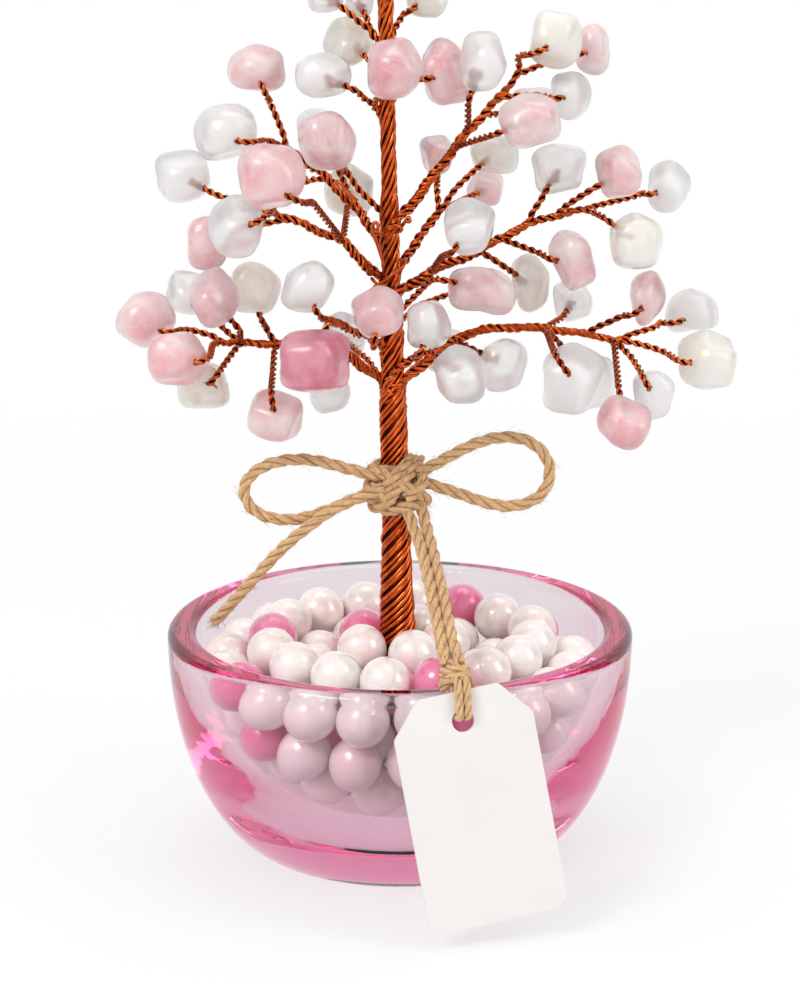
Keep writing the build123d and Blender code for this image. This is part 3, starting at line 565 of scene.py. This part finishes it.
looseEnds = {
    "trunk_middle": [
        [(-4.6, -0.6, 90.2), (-3.9, -2.2, 91.4), (-2.3, -3.3, 92.6), (-1.2, -3.4, 93.5),
         (0.5, -2.4, 94.6), (0.9, -0.8, 95.6)],
        [(-4.4, -0.8, 92.4), (-3.1, -2.9, 91.4), (-1.2, -3.5, 90.8), (0.8, -2.6, 91.2),
         (1.4, -0.9, 91.6)]],
    "trunk_upper": [
        [(-2.4, -1.9, 94.6), (-3.0, -2.2, 96.6), (-3.7, -2.5, 98.8), (-4.4, -2.8, 100.9),
         (-3.8, -3.0, 101.7), (-3.2, -3.0, 101.1), (-3.5, -2.8, 100.4)],
        [(-2.2, -2.0, 98.2), (-0.9, -2.7, 100.2), (-0.1, -3.1, 101.1), (0.4, -3.1, 100.5),
         (-0.1, -2.9, 100.1)],
        [(-0.4, -1.8, 99.8), (0.6, -2.4, 101.3), (1.4, -3.0, 102.5), (1.6, -3.3, 101.6),
         (0.9, -3.2, 101.8)],
        [(-6.6, -3.4, 105.0), (-8.4, -4.5, 106.8), (-9.0, -5.0, 108.0), (-9.8, -5.3, 108.3),
         (-10.0, -5.4, 107.6), (-9.4, -5.2, 107.2)]],
}


def copperFinish():
    copper = Finish("copperWire", Metallic=1.0)
    spots = copper.noise(copper.places(), 900.0, 3.0)
    length = copper.noise(copper.carried("lay", "Vector"), 0.35, 2.0)
    tone = copper.carried("tone")
    share = (copper.ranged(spots, 0.3, 0.7) * 0.35 + copper.ranged(length, 0.3, 0.7) * 0.35
             + tone * 0.3).clamped()
    # painted shade: each wire darkened on its inner side, towards the gaps between wires
    depth = copper.ranged(copper.carried("outward"), 0.55, -0.25, 0.0, 1.0)
    tint = copper.mixed(share, wireSetup["deep"], wireSetup["bright"])
    copper.set(Base_Color=copper.mixed(depth, tint, wireSetup["paintedGrooveShade"]),
               Roughness=copper.ranged(spots, 0.2, 0.8, 0.12, 0.26))
    copper.bumped(spots, 0.02 * mm, 0.4)
    return copper


def trunkMiddle(height):
    share = (height - trunkSetup["foot"]) / (trunkSetup["top"] - trunkSetup["foot"])
    shift = trunkSetup["footShift"] + (trunkSetup["lean"] - trunkSetup["footShift"]) * share
    return np.array((shift, 0.0, height))


def trunkReach(height):
    level = sum(height > fork for fork in trunkSetup["forks"][:3])
    return trunkSetup["reach"][level] + trunkSetup["wireRadius"]


def twistedPair(yarns, line, tone, phase):
    side = carriedSide(line)
    turns = 2 * math.pi * lengths(line) / wireSetup["pairLay"] + phase
    for wire in range(2):
        path, out = woundLine(line, side, wireSetup["pairReach"], turns + math.pi * wire)
        yarns.add(path, out, wireSetup["pairRadius"], wireSetup["pairSides"],
                  tone + wireSetup["pairTone"] * wire)


def anyPhase():
    return random.random() * 6.28


def trunkWire(heights, grown, number, count):
    # one wire's turn and reach at each height, with small wanderings of its own
    slow = np.sin(heights / (random.uniform(*trunkSetup["slowEvery"]) * mm) + anyPhase())
    turns = (2 * math.pi * heights / wireSetup["trunkLay"] + 2 * math.pi * number / count
             + trunkSetup["stagger"] * (-1) ** number + trunkSetup["slow"] * slow)
    share = 1 + random.uniform(*trunkSetup["reachVaries"])
    quick = np.sin(heights / (random.uniform(*trunkSetup["quickEvery"]) * mm) + anyPhase())
    return turns, grown * share + trunkSetup["quick"] * quick


def trunkPiece(name, level, copper):
    low, high = (trunkSetup["foot"], *trunkSetup["forks"])[level:level + 2]
    count = trunkSetup["wires"][level]
    ring = trunkSetup["reach"][level]
    wire = trunkSetup["wireRadius"]
    yarns = Yarns()
    start = low if level == 0 else low - trunkSetup["below"]
    heights = np.arange(start, high + trunkSetup["above"], trunkSetup["step"])
    line = np.array([trunkMiddle(height) for height in heights])
    side = np.tile(np.array((1.0, 0.0, 0.0)), (len(line), 1))
    grown = np.full(len(line), ring)
    if level == 0:
        flare = np.clip(1 - (heights - low) / trunkSetup["flareLength"], 0, 1)
        grown += trunkSetup["flare"] * flare
    else:
        depth, length = trunkSetup["footIn"]
        grown -= depth * wire * np.clip(1 - (heights - start) / length, 0, 1)
    depth, early, length = trunkSetup["topIn"]
    grown -= depth * wire * np.clip((heights - high + early) / length, 0, 1)
    for number in range(count):
        turns, lifted = trunkWire(heights, grown, number, count)
        path, out = woundLine(line, side, lifted, turns)
        slender = trunkSetup["slender"]
        thick = wire * random.uniform(*trunkSetup["wireVaries"])
        thick = thick * (slender + (1 - slender) * grown / ring)
        yarns.add(path, out, thick, trunkSetup["sides"], random.random())
    for points in looseEnds.get(name, ()):
        loose = evenLine(np.array(points) * mm, trunkSetup["looseStep"])
        loose = softened(loose, trunkSetup["looseRounds"])
        front = np.tile(np.array((0, -1.0, 0)), (len(loose), 1))
        yarns.add(loose, front, trunkSetup["looseRadius"], trunkSetup["looseSides"],
                  random.random())
    # a core inside the wires, in the deep colour, as painted shade seen through the gaps
    every = trunkSetup["coreEvery"]
    yarns.add(line[::every], side[::every], grown[::every] - trunkSetup["coreInset"],
              trunkSetup["coreSides"], trunkSetup["coreShadeTone"])
    trunk = yarns.piece(name + "_wires", copper)
    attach(trunk, "root")
    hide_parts(name)


def startOnTrunk(point, number, count):
    # the pair's way along the trunk before it bends out
    middle = trunkMiddle(point[2])
    facing = math.atan2(point[1], point[0] - middle[0])
    spread = (number - (count - 1) / 2) * wireSetup["trunkFan"]
    points = []
    for drop in wireSetup["trunkDrops"]:
        height = point[2] - drop * mm
        lay = drop * mm * 2 * math.pi / wireSetup["trunkLay"]
        angle = facing + spread * min(1, drop / wireSetup["fanDrop"]) - lay
        reach = trunkReach(height) + (wireSetup["fanLift"] - wireSetup["fanSink"] * drop) * mm
        out = np.array((math.cos(angle), math.sin(angle), 0))
        points.append(trunkMiddle(height) + reach * out)
    return np.array(points)


def boxOf(places):
    low, high = places.min(axis=0), places.max(axis=0)
    return (low + high) / 2, (high - low) / 2


stoneSolids = {name: solidsOf(name) for name in sorted(nodes) if "_stones_" in name}
stoneBoxes = [(places, *boxOf(places)) for solids in stoneSolids.values() for places, _ in solids]


def overStone(route):
    # the pair runs over the stone's near face and ends in its drilled hole
    places, centre, half = min(stoneBoxes, key=lambda box: np.linalg.norm(box[1] - route[-1]))
    held = half + wireSetup["stoneRoom"]
    outside = np.flatnonzero((np.abs(route - centre) > held).any(axis=1))
    if np.linalg.norm(centre - route[-1]) > wireSetup["stoneNear"] or len(outside) == 0:
        return route
    way = (route[outside[-1]] - centre) * (1, 0, 1)
    if np.linalg.norm(way) < wireSetup["stoneSide"]:
        return route
    way /= np.linalg.norm(way)
    wide = ((places - centre) @ way).max() + wireSetup["overSide"]
    front = np.array((0, half[1] + wireSetup["overFront"], 0))
    last = random.uniform(*wireSetup["overEnd"])
    angles = np.radians(np.linspace(wireSetup["overStart"], last, wireSetup["overPoints"]))[:, None]
    power = wireSetup["overPower"]
    over = centre + way * wide * np.cos(angles) ** power - front * np.sin(angles) ** power
    deep = np.array((0, wireSetup["overDeep"] * mm, 0))
    end = over[-1] + deep - way * wireSetup["overInset"] * mm
    return np.concatenate([route[:max(outside[-1] - 1, 1)], over, end[None]])


def readBranch(name):
    # the stem's line and thickness, and each twig with the step of the stem where it leaves
    routes = [wireRoute(*solid) for solid in solidsOf(name)]
    routes.sort(key=lambda route: -route[1].max())
    stem, sizes = routes[0]
    if abs(stem[0][0]) + abs(stem[0][1]) > abs(stem[-1][0]) + abs(stem[-1][1]):
        stem, sizes = stem[::-1], sizes[::-1]
    fine = softened(evenLine(stem, wireSetup["step"]), wireSetup["stemRounds"])
    thick = np.interp(lengths(fine), lengths(stem), sizes)
    twigs = []
    for twig, _ in routes[1:]:
        near = [np.linalg.norm(fine - twig[end], axis=1) for end in (0, -1)]
        if near[1].min() < near[0].min():
            twig, near = twig[::-1], near[::-1]
        twigs.append((int(np.argmin(near[0])), twig))
    twigs.sort(key=lambda pair: -pair[0])
    return stem[0], fine, thick, twigs


def branchPiece(name, copper):
    start, fine, thick, twigs = readBranch(name)
    along = lengths(fine)
    side = carriedSide(fine)
    count = len(twigs)
    steps = np.arange(len(fine))
    beside = sum((leave >= steps).astype(int) for leave, _ in twigs)
    wide = thick * wireSetup["stemShare"] - wireSetup["stemInset"]
    wide = np.clip(wide, 0, wireSetup["stemSpread"])
    around = 2 * math.pi * np.maximum(wide, wireSetup["stemLeast"])
    room = np.maximum(2, (around / wireSetup["stemRoom"]).astype(int))
    blur = wireSetup["blur"]
    window = 2 * blur + 1
    yarns = Yarns()
    for number, (leave, twig) in enumerate(twigs):
        turns = 2 * math.pi * (along / wireSetup["stemLay"] + number / max(2, count))
        reach = np.where(beside > 1, wide, wide * wireSetup["loneShare"])
        reach = np.where(number >= room, reach * wireSetup["innerShare"], reach)
        reach = np.pad(reach, blur, mode="edge")
        reach = np.convolve(reach, np.ones(window) / window, mode="valid")
        path, _ = woundLine(fine, side, reach, turns)
        twig = evenLine(twig, wireSetup["step"] * 3)
        if random.random() < wireSetup["overStones"]:
            twig = overStone(twig)
        foot = startOnTrunk(start, number, count)
        way = np.concatenate([foot, path[2:max(leave - 3, 2)], twig[1:]])
        way = softened(evenLine(way, wireSetup["step"]), wireSetup["rounds"])
        # front pairs get a random tone; the others get a low tone, painted shade for pairs inside
        # the stem
        inFront = number < wireSetup["frontPairs"]
        tone = random.random() * wireSetup["frontTone"] if inFront else wireSetup["hiddenShadeTone"]
        twistedPair(yarns, way, tone, anyPhase())
    branch = yarns.piece(name + "_wires", copper)
    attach(branch, "root")
    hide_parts(name)


copper = copperFinish()
for level, nodeName in enumerate(("trunk_lower", "trunk_middle", "trunk_upper", "trunk_top")):
    trunkPiece(nodeName, level, copper)
branchNames = [name for name in sorted(nodes) if name.startswith("branch_")]
for nodeName in branchNames:
    branchPiece(nodeName, copper)
dressed("root_wires", copper)
print("wires: trunk and", len(branchNames), "branches wound")


# Stones
stoneSetup = {
    "marked": {"rose": (-0.0124, -0.0232, 0.0839), "cream": (-0.0292, -0.0027, 0.0755)},
    "markedWithin": 6 * mm, "clear": {"rose": 0.45, "white": 0.6, "cream": 0.45},
    "deepRose": ((0.66, 0.18, 0.27), (0.86, 0.42, 0.50)), "tan": (0.62, 0.42, 0.26),
    "fleck": (0.10, 0.06, 0.04), "glow": 5 * mm,
    "cloudScale": 230.0, "driftScale": 200.0, "veinScale": 170.0, "fleckScale": 620.0,
    "gritScale": 420.0,
    "hullPoints": 900, "far": 0.05, "evenRounds": 7, "evenShare": 0.5,
    "seeds": (0, 50), "tones": (0.15, 1.0),
    "wave": 0.6 * mm, "waveEvery": 4.2 * mm, "dent": 0.06 * mm, "dentEvery": 1.7 * mm,
}
stoneShades = {
    "rose": ((0.93, 0.47, 0.50), (0.97, 0.66, 0.67), (0.99, 0.84, 0.83)),
    "white": ((0.90, 0.875, 0.86), (0.98, 0.96, 0.94), (1.0, 0.99, 0.98)),
    "cream": ((0.88, 0.77, 0.66), (0.97, 0.905, 0.82), (0.99, 0.96, 0.92)),
}


def stoneFinish(kind):
    deep, middle, pale = stoneShades[kind]
    quartz = Finish(kind + "Quartz", Roughness=0.3, IOR=1.5, Coat_Roughness=0.16)
    quartz.set(Coat_Weight=0.5, Subsurface_Weight=1.0, Subsurface_Radius=(1.0, 0.85, 0.83),
               Subsurface_Scale=stoneSetup["glow"], Transmission_Weight=stoneSetup["clear"][kind])
    spot = quartz.places()
    cloud = quartz.noise(spot, stoneSetup["cloudScale"], 4.0, 0.6)
    drift = quartz.noise(spot, stoneSetup["driftScale"], 2.0)
    drift = quartz.stretched(drift, (0.01, 0.01, 0.01))
    bent = quartz.stretched(quartz.shifted(spot, drift), (1, 1, 2.2))
    veins = quartz.noise(bent, stoneSetup["veinScale"], 2.0, 0.6)
    share = quartz.ranged(cloud, 0.33, 0.67) * 0.85 + quartz.carried("tone") * 0.45 - 0.2
    tint = quartz.shades(share.clamped(), [(0.0, deep), (0.5, middle), (1.0, pale)])
    ridge = (1 - quartz.ranged(abs(veins - 0.5), 0.0, 0.035)).clamped()
    tint = quartz.mixed(ridge * 0.4, tint, pale)
    if kind == "rose":
        rich = quartz.mixed(quartz.ranged(cloud, 0.35, 0.65), *stoneSetup["deepRose"])
        tint = quartz.mixed(quartz.carried("deep"), tint, rich)
    if kind == "cream":
        marked = quartz.carried("deep")
        stain = marked * quartz.ranged(cloud, 0.5, 0.62) * 0.5
        tint = quartz.mixed(stain, tint, stoneSetup["tan"])
        flecks = quartz.ranged(quartz.noise(spot, stoneSetup["fleckScale"], 1.0), 0.69, 0.73)
        tint = quartz.mixed(marked * flecks * 0.9, tint, stoneSetup["fleck"])
    quartz.set(Base_Color=tint)
    quartz.bumped(quartz.noise(spot, stoneSetup["gritScale"], 3.0), 0.08 * mm, 0.35)
    return quartz


ball = bmesh.new()
bmesh.ops.create_icosphere(ball, subdivisions=4, radius=1.0)
ballPlaces = np.array([vert.co[:] for vert in ball.verts])
ballFaces = np.array([[vert.index for vert in face.verts] for face in ball.faces])
ballPairs = np.array([[vert.index for vert in edge.verts] for edge in ball.edges])
ball.free()


def ballsMesh(name, balls, fields):
    mesh = bpy.data.meshes.new(name)
    faces = np.concatenate([ballFaces + len(ballPlaces) * number for number in range(len(balls))])
    mesh.from_pydata(np.concatenate(balls).tolist(), [], faces.tolist())
    mesh.polygons.foreach_set("use_smooth", [True] * len(mesh.polygons))
    for field, values in fields.items():
        store(mesh, field, np.repeat(values, len(ballPlaces)))
    return mesh


def evened(places, rounds, share):
    degree = np.bincount(ballPairs.ravel(), minlength=len(places))[:, None]
    for _ in range(rounds):
        sums = np.zeros_like(places)
        np.add.at(sums, ballPairs[:, 0], places[ballPairs[:, 1]])
        np.add.at(sums, ballPairs[:, 1], places[ballPairs[:, 0]])
        places = places + share * (sums / degree - places)
    return places


def tumbled(places, seed):
    # a ball drawn onto the stone's hull, evened out, with slow waves and small dents
    hull = bmesh.new()
    for place in places[:: max(1, len(places) // stoneSetup["hullPoints"])]:
        hull.verts.new(place)
    bmesh.ops.convex_hull(hull, input=hull.verts)
    tree = BVHTree.FromBMesh(hull)
    centre = Vector(boxOf(places)[0])
    spots = np.empty_like(ballPlaces)
    for number, way in enumerate(ballPlaces):
        hit = tree.ray_cast(centre + Vector(way) * stoneSetup["far"], -Vector(way))[0]
        spots[number] = hit if hit else centre
    hull.free()
    spots = evened(spots, stoneSetup["evenRounds"], stoneSetup["evenShare"])
    for number, spot in enumerate(spots):
        wave = noise.noise(Vector(spot) / stoneSetup["waveEvery"] + Vector((seed, 0, 0)))
        dent = noise.noise(Vector(spot) / stoneSetup["dentEvery"] + Vector((0, seed, 0)))
        lift = wave * stoneSetup["wave"] + dent * stoneSetup["dent"]
        spots[number] = spot + ballPlaces[number] * lift
    return spots


def stonePiece(name, finish, kind):
    mark = stoneSetup["marked"].get(kind)
    balls, tones, deeps = [], [], []
    for solid, _ in stoneSolids[name]:
        balls.append(tumbled(solid, random.uniform(*stoneSetup["seeds"])))
        tones.append(random.uniform(*stoneSetup["tones"]))
        near = mark and math.dist(boxOf(solid)[0], mark) < stoneSetup["markedWithin"]
        deeps.append(1.0 if near else 0.0)
    mesh = ballsMesh(name + "_quartz", balls, {"tone": tones, "deep": deeps})
    stones = shown(name + "_quartz", mesh, finish)
    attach(stones, "root")
    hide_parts(name)
    return len(balls)


quartzes = {kind: stoneFinish(kind) for kind in stoneShades}
stoneCount = 0
for nodeName in stoneSolids:
    kind = nodeName.split("_")[0]
    stoneCount += stonePiece(nodeName, quartzes[kind], kind)
print("stones:", stoneCount, "tumbled")


# Pearls
pearlSetup = {"radius": 4 * mm, "uneven": 0.03 * mm, "wave": 1.3, "shift": 1.7}
pearlShades = {
    "cream": ((0.98, 0.845, 0.81), (1.0, 0.94, 0.905)),
    "pink": ((0.88, 0.17, 0.37), (0.92, 0.28, 0.47)),
}


def pearlFinish(kind):
    first, second = pearlShades[kind]
    pearl = Finish(kind + "Pearl", Roughness=0.25, Metallic=0.08, Sheen_Weight=0.2)
    pearl.set(Coat_Weight=1.0, Coat_Roughness=0.03, Subsurface_Weight=0.2,
              Subsurface_Scale=1.5 * mm)
    cloud = pearl.noise(pearl.places(), 260.0, 2.0)
    share = (pearl.carried("tone") * 0.7 + pearl.ranged(cloud, 0.3, 0.7) * 0.3).clamped()
    pearl.set(Base_Color=pearl.mixed(share, first, second))
    pearl.bumped(pearl.noise(pearl.places(), 1600.0, 2.0), 0.01 * mm, 0.15)
    return pearl


def pearlPiece(name, kind):
    balls, tones = [], []
    for number, (solid, _) in enumerate(solidsOf(name)):
        shift = Vector((number * pearlSetup["shift"], 0, 0))
        uneven = np.array([noise.noise(Vector(way) * pearlSetup["wave"] + shift)
                           for way in ballPlaces])
        reach = pearlSetup["radius"] + pearlSetup["uneven"] * (uneven - 1)
        balls.append(boxOf(solid)[0] + ballPlaces * reach[:, None])
        tones.append(random.random())
    mesh = ballsMesh(name + "_beads", balls, {"tone": tones})
    beads = shown(name + "_beads", mesh, pearlFinish(kind))
    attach(beads, "root")
    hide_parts(name)
    return len(balls)


pearlCounts = [pearlPiece("pearls_" + kind, kind) for kind in pearlShades]
print("pearls:", pearlCounts[0], "cream,", pearlCounts[1], "pink")


# Bowl and glue
glassSetup = {
    "tint": (0.93, 0.36, 0.62), "density": 36.0, "ior": 1.4, "shade": (1, 0.98, 0.99),
    "glueIor": 1.2,
}


def glassFinish(name, ior, shade, tint=None):
    # shadow rays pass straight through, tinted by the shade
    glass = Finish(name, Roughness=0.0, IOR=ior, Transmission_Weight=1.0)
    clear = glass.add("ShaderNodeBsdfTransparent", {}, {"Color": shade})
    glass.covered(glass.anyRay("Shadow"), clear)
    if tint:
        soak = glass.add("ShaderNodeVolumeAbsorption", {},
                         {"Color": tint, "Density": glassSetup["density"]})
        glass.feed(glass.result.inputs["Volume"], soak)
    return glass


dressed("bowl", glassFinish("pinkGlass", glassSetup["ior"], glassSetup["shade"],
                            glassSetup["tint"]))
dressed("glue_core", glassFinish("clearGlue", glassSetup["glueIor"], (1, 1, 1)))
print("glass: bowl and glue dressed")


# Knots, loop and tag
knotSetup = {
    "middle": (-0.0009, 0, 0.0595), "reach": 2.95, "rises": (-2.7, -0.9, 0.9, 2.6),
    "wave": 0.15 * mm, "leans": (-0.15, 0.2), "overlap": 1.04, "ringPoints": 120,
    "varies": (0.95, 1.08), "rounds": 12, "fuzz": 0.8, "phase": 6,
    "strands": [
        [(4.0, -0.8, 4.0), (3.4, -3.4, 3.7), (1.9, -5.6, 2.2), (-0.1, -6.7, 0.1),
         (-1.9, -6.0, -2.0), (-3.1, -3.6, -3.0), (-3.4, -1.0, -2.8)],
        [(3.0, -0.8, 4.3), (1.9, -3.6, 3.9), (0.3, -5.3, 2.7), (-1.4, -6.1, 0.8),
         (-2.9, -5.2, -0.9), (-3.8, -3.0, -1.7), (-3.6, -0.8, -1.8)],
        [(-3.0, -0.8, 2.6), (-3.6, -2.8, 3.1), (-2.5, -4.4, 3.2), (-0.9, -5.4, 2.4),
         (0.7, -5.4, 1.2)],
        [(0.9, -6.2, 1.5), (2.8, -6.5, 0.7), (4.5, -5.6, -0.6), (5.2, -3.8, -1.8),
         (4.6, -1.8, -2.5)],
        [(-1.6, -4.8, -3.3), (0.4, -6.3, -2.6), (2.4, -6.8, -1.8), (4.1, -5.6, -2.3),
         (4.4, -3.4, -3.1)],
        [(3.4, -1.6, 3.4), (4.5, -4.2, 2.8), (4.5, -5.9, 1.5), (3.3, -6.7, 0.3),
         (1.8, -6.6, -0.7)],
        [(3.0, -1.6, 2.2), (3.5, -3.2, 1.7), (3.3, -4.4, 0.6), (2.4, -5.0, -0.5)],
        [(-3.6, -1.0, 0.6), (-4.1, -3.6, 0.5), (-3.2, -5.6, 0.6), (-1.6, -6.3, -0.4),
         (-0.3, -6.0, -1.7)]],
}


def ringLine(middle, reach, lean, turn, wave):
    # a turn of twine round the trunk, that overlaps its own start a little
    angles = np.linspace(0, 2 * math.pi * knotSetup["overlap"], knotSetup["ringPoints"])
    x, y = reach * np.cos(angles + turn), reach * np.sin(angles + turn)
    line = middle + np.stack([x, y, lean * x + wave * np.sin(2 * angles)], axis=1)
    return evenLine(line, twineSetup["step"])


def bowKnot():
    yarns = Yarns()
    middle = np.array(knotSetup["middle"])
    turns = []
    for rise in knotSetup["rises"]:
        place = middle + np.array((0, 0, rise * mm))
        lean = random.uniform(*knotSetup["leans"])
        start = random.random() * knotSetup["phase"]
        turns.append(ringLine(place, knotSetup["reach"] * mm, lean, start, knotSetup["wave"]))
    for strand in knotSetup["strands"]:
        line = evenLine(np.array(strand) * mm + middle, twineSetup["step"])
        turns.append(softened(line, knotSetup["rounds"]))
    for turn in turns:
        thick = twineSetup["thick"] * random.uniform(*knotSetup["varies"])
        laidTwine(yarns, turn, thick)
        fuzz(hairs, turn, twineSetup["thick"], knotSetup["fuzz"])
    knot = yarns.piece("bow_knot_twine", jute)
    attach(knot, "root")
    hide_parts("bow_knot")


tagSetup = {
    "bearing": 13.5, "lean": 12.0, "knot": (0.00824, -0.03432, 0.0386),
    "hole": (0.009258, -0.038564, 0.0334), "step": 0.2 * mm,
    "wrap": 1.55 * mm, "wrapFuzz": 1.5 * mm, "fuzz": 0.5, "wrapRounds": 6,
    "strand": 1.2 * mm, "strandRounds": 5, "apart": 0.64,
    "strandRoute": ((6.44, -2.28), (6.0, 0.3), (5.0, 1.1), (0.8, 1.15), (0.4, 0), (0.8, -1.15),
                    (4.25, -1.1), (5.54, -2.73)),
    "card": ((0.82, 0.79, 0.768), (0.845, 0.815, 0.79), (0.77, 0.73, 0.69)),
    "wraps": [
        [(-2.1, 0.6, -1.3), (-2.0, 1.1, -0.4), (-1.1, 1.8, 0.6), (0.1, 2.1, 0.9), (1.2, 1.8, 0.6),
         (1.9, 1.1, -0.4), (2.0, 0.6, -1.2)],
        [(-1.8, -0.9, 0.7), (-1.2, 0.6, 1.2), (0.2, 1.2, 1.5), (1.3, 0.5, 1.1), (1.8, -0.9, 0.8)],
        [(-1.8, -0.2, -0.3), (-1.1, 1.0, -0.4), (0.3, 1.4, -0.2), (1.2, 0.9, -0.4),
         (1.8, -0.2, -0.3)],
        [(-0.92, -1.45, 1.35), (-0.8, -1.0, 0.8), (-0.7, -0.2, 0.1), (-0.7, 0.5, -0.5)],
        [(1.21, -1.4, 1.35), (0.9, -0.95, 0.8), (0.8, -0.1, 0.1), (0.7, 0.5, -0.5)]],
}


def onTag(middle, lean, points, rounds):
    # a line through points across the tag, out of its front and up it
    bearing = math.radians(tagSetup["bearing"])
    lean = math.radians(lean)
    across = np.array((math.cos(bearing), math.sin(bearing), 0))
    out = np.array((math.sin(bearing), -math.cos(bearing), 0))
    front = out * math.cos(lean) + np.array((0, 0, math.sin(lean)))
    up = np.array((0, 0, math.cos(lean))) - out * math.sin(lean)
    line = np.array(middle) + np.array(points) * mm @ np.array((across, front, up))
    return softened(evenLine(line, tagSetup["step"]), rounds)


def rimKnot():
    yarns = Yarns()
    for wrap in tagSetup["wraps"]:
        line = onTag(tagSetup["knot"], 0, wrap, tagSetup["wrapRounds"])
        laidTwine(yarns, line, tagSetup["wrap"])
        fuzz(hairs, line, tagSetup["wrapFuzz"], tagSetup["fuzz"])
    knot = yarns.piece("rim_knot_twine", jute)
    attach(knot, "tag_loop")
    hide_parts("rim_knot")
    loops = Yarns()
    for way in (-1, 1):
        route = [(way * tagSetup["apart"], front, up) for up, front in tagSetup["strandRoute"]]
        line = onTag(tagSetup["hole"], tagSetup["lean"], route, tagSetup["strandRounds"])
        laidTwine(loops, line, tagSetup["strand"])
    strands = loops.piece("tag_loop_twine", jute)
    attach(strands, "tag_loop")
    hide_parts("tag_loop")


def cardFinish():
    low, high, grit = tagSetup["card"]
    card = Finish("tagCard", Roughness=0.75)
    grain = card.noise(card.places(), 1500.0, 4.0, 0.6)
    broad = card.noise(card.places(), 90.0, 2.0)
    tint = card.mixed(card.ranged(broad, 0.35, 0.65), low, high)
    card.set(Base_Color=card.mixed(card.ranged(grain, 0.55, 0.8, 0, 0.3), tint, grit))
    card.bumped(grain, 0.03 * mm, 0.5)
    return card


bowKnot()
rimKnot()
dressed("tag", cardFinish())
fluff = hairs.piece("twine_fibres", jute)
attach(fluff, "root")
print("knots, loop and tag made")


# Floor and light
studioSetup = {
    "floor": 8.0, "paper": (0.93, 0.92, 0.93), "white": 0.62, "world": 0.62, "fade": (0.09, 0.32),
    "below": 0.00005, "card": (0.3, 0.5), "cardAim": (0, 0, 0.08), "felt": (0.20, 0.11, 0.14),
    "seenBy": ("Camera", "Glossy", "Transmission"), "bounces": (24, 16, 24),
    "cards": {"leftCard": (-0.5, 0.12, 0.16), "rightCard": (0.5, 0.12, 0.16)},
    "lamps": {  # place, aim, width, height and power
        "keyLamp": ((-0.42, -0.45, 0.62), (0, 0, 0.07), 0.3, 0.3, 2.8),
        "fillLamp": ((0.6, -0.25, 0.4), (0, 0, 0.07), 0.25, 0.5, 1.2),
        "topLamp": ((0.05, 0.15, 0.8), (0, 0, 0.05), 0.5, 0.5, 1.3),
    },
}


def sheetMesh(name, parts, wide, tall):
    work = bmesh.new()
    bmesh.ops.create_grid(work, x_segments=parts, y_segments=parts, size=0.5)
    bmesh.ops.scale(work, vec=(wide, tall, 1), verts=work.verts)
    mesh = bpy.data.meshes.new(name)
    work.to_mesh(mesh)
    work.free()
    return mesh


def stood(thing, place, ahead):
    thing.location = place
    thing.rotation_mode = "QUATERNION"
    thing.rotation_quaternion = ahead.to_track_quat("Z", "Y")


def makeFloor():
    # lit paper near the object, plain white further out
    paper = Finish("floorPaper", Base_Color=studioSetup["paper"], Roughness=0.9)
    far = paper.add("ShaderNodeVectorMath", {"operation": "LENGTH"}, {0: paper.places()}, "Value")
    share = paper.ranged(far, *studioSetup["fade"], studioSetup["white"], 1.0).clamped()
    glow = paper.add("ShaderNodeEmission", {}, {})
    paper.covered(paper.anyRay(*studioSetup["seenBy"]) * share, glow)
    mesh = sheetMesh("studioFloor", 8, studioSetup["floor"], studioSetup["floor"])
    floor = shown("studioFloor", mesh, paper)
    floor.location.z = -studioSetup["below"]


def makeCard(name, place):
    # dark felt beside the camera's view, for the glass and the wires to reflect
    felt = Finish(name + "Felt", Base_Color=studioSetup["felt"], Roughness=0.9)
    card = shown(name, sheetMesh(name, 4, *studioSetup["card"]), felt)
    stood(card, place, Vector(studioSetup["cardAim"]) - Vector(place))
    for ray in ("camera", "diffuse", "shadow", "transmission"):
        setattr(card, "visible_" + ray, False)


def makeWorld():
    world = bpy.data.worlds.new("studioWorld")
    scene.world = world
    world.use_nodes = True
    world.node_tree.nodes.clear()
    sky = NodeTree(world.node_tree)
    level = sky.ranged(sky.anyRay(*studioSetup["seenBy"]), 0.0, 1.0, studioSetup["world"], 1.0)
    back = sky.add("ShaderNodeBackground", {}, {"Color": (1, 1, 1), "Strength": level})
    sky.add("ShaderNodeOutputWorld", {}, {"Surface": back})


def makeLamp(name, place, aim, wide, tall, power):
    data = bpy.data.lights.new(name, "AREA")
    data.shape = "RECTANGLE"
    data.size = wide
    data.size_y = tall
    data.energy = power
    lamp = bpy.data.objects.new(name, data)
    stood(lamp, place, Vector(place) - Vector(aim))
    scene.collection.objects.link(lamp)


makeFloor()
for cardName, place in studioSetup["cards"].items():
    makeCard(cardName, place)
makeWorld()
for lampName, values in studioSetup["lamps"].items():
    makeLamp(lampName, *values)
scene.view_settings.view_transform = "Standard"
cycles = scene.cycles  # thick glass needs many bounces
cycles.max_bounces, cycles.glossy_bounces, cycles.transmission_bounces = studioSetup["bounces"]
print("studio made")
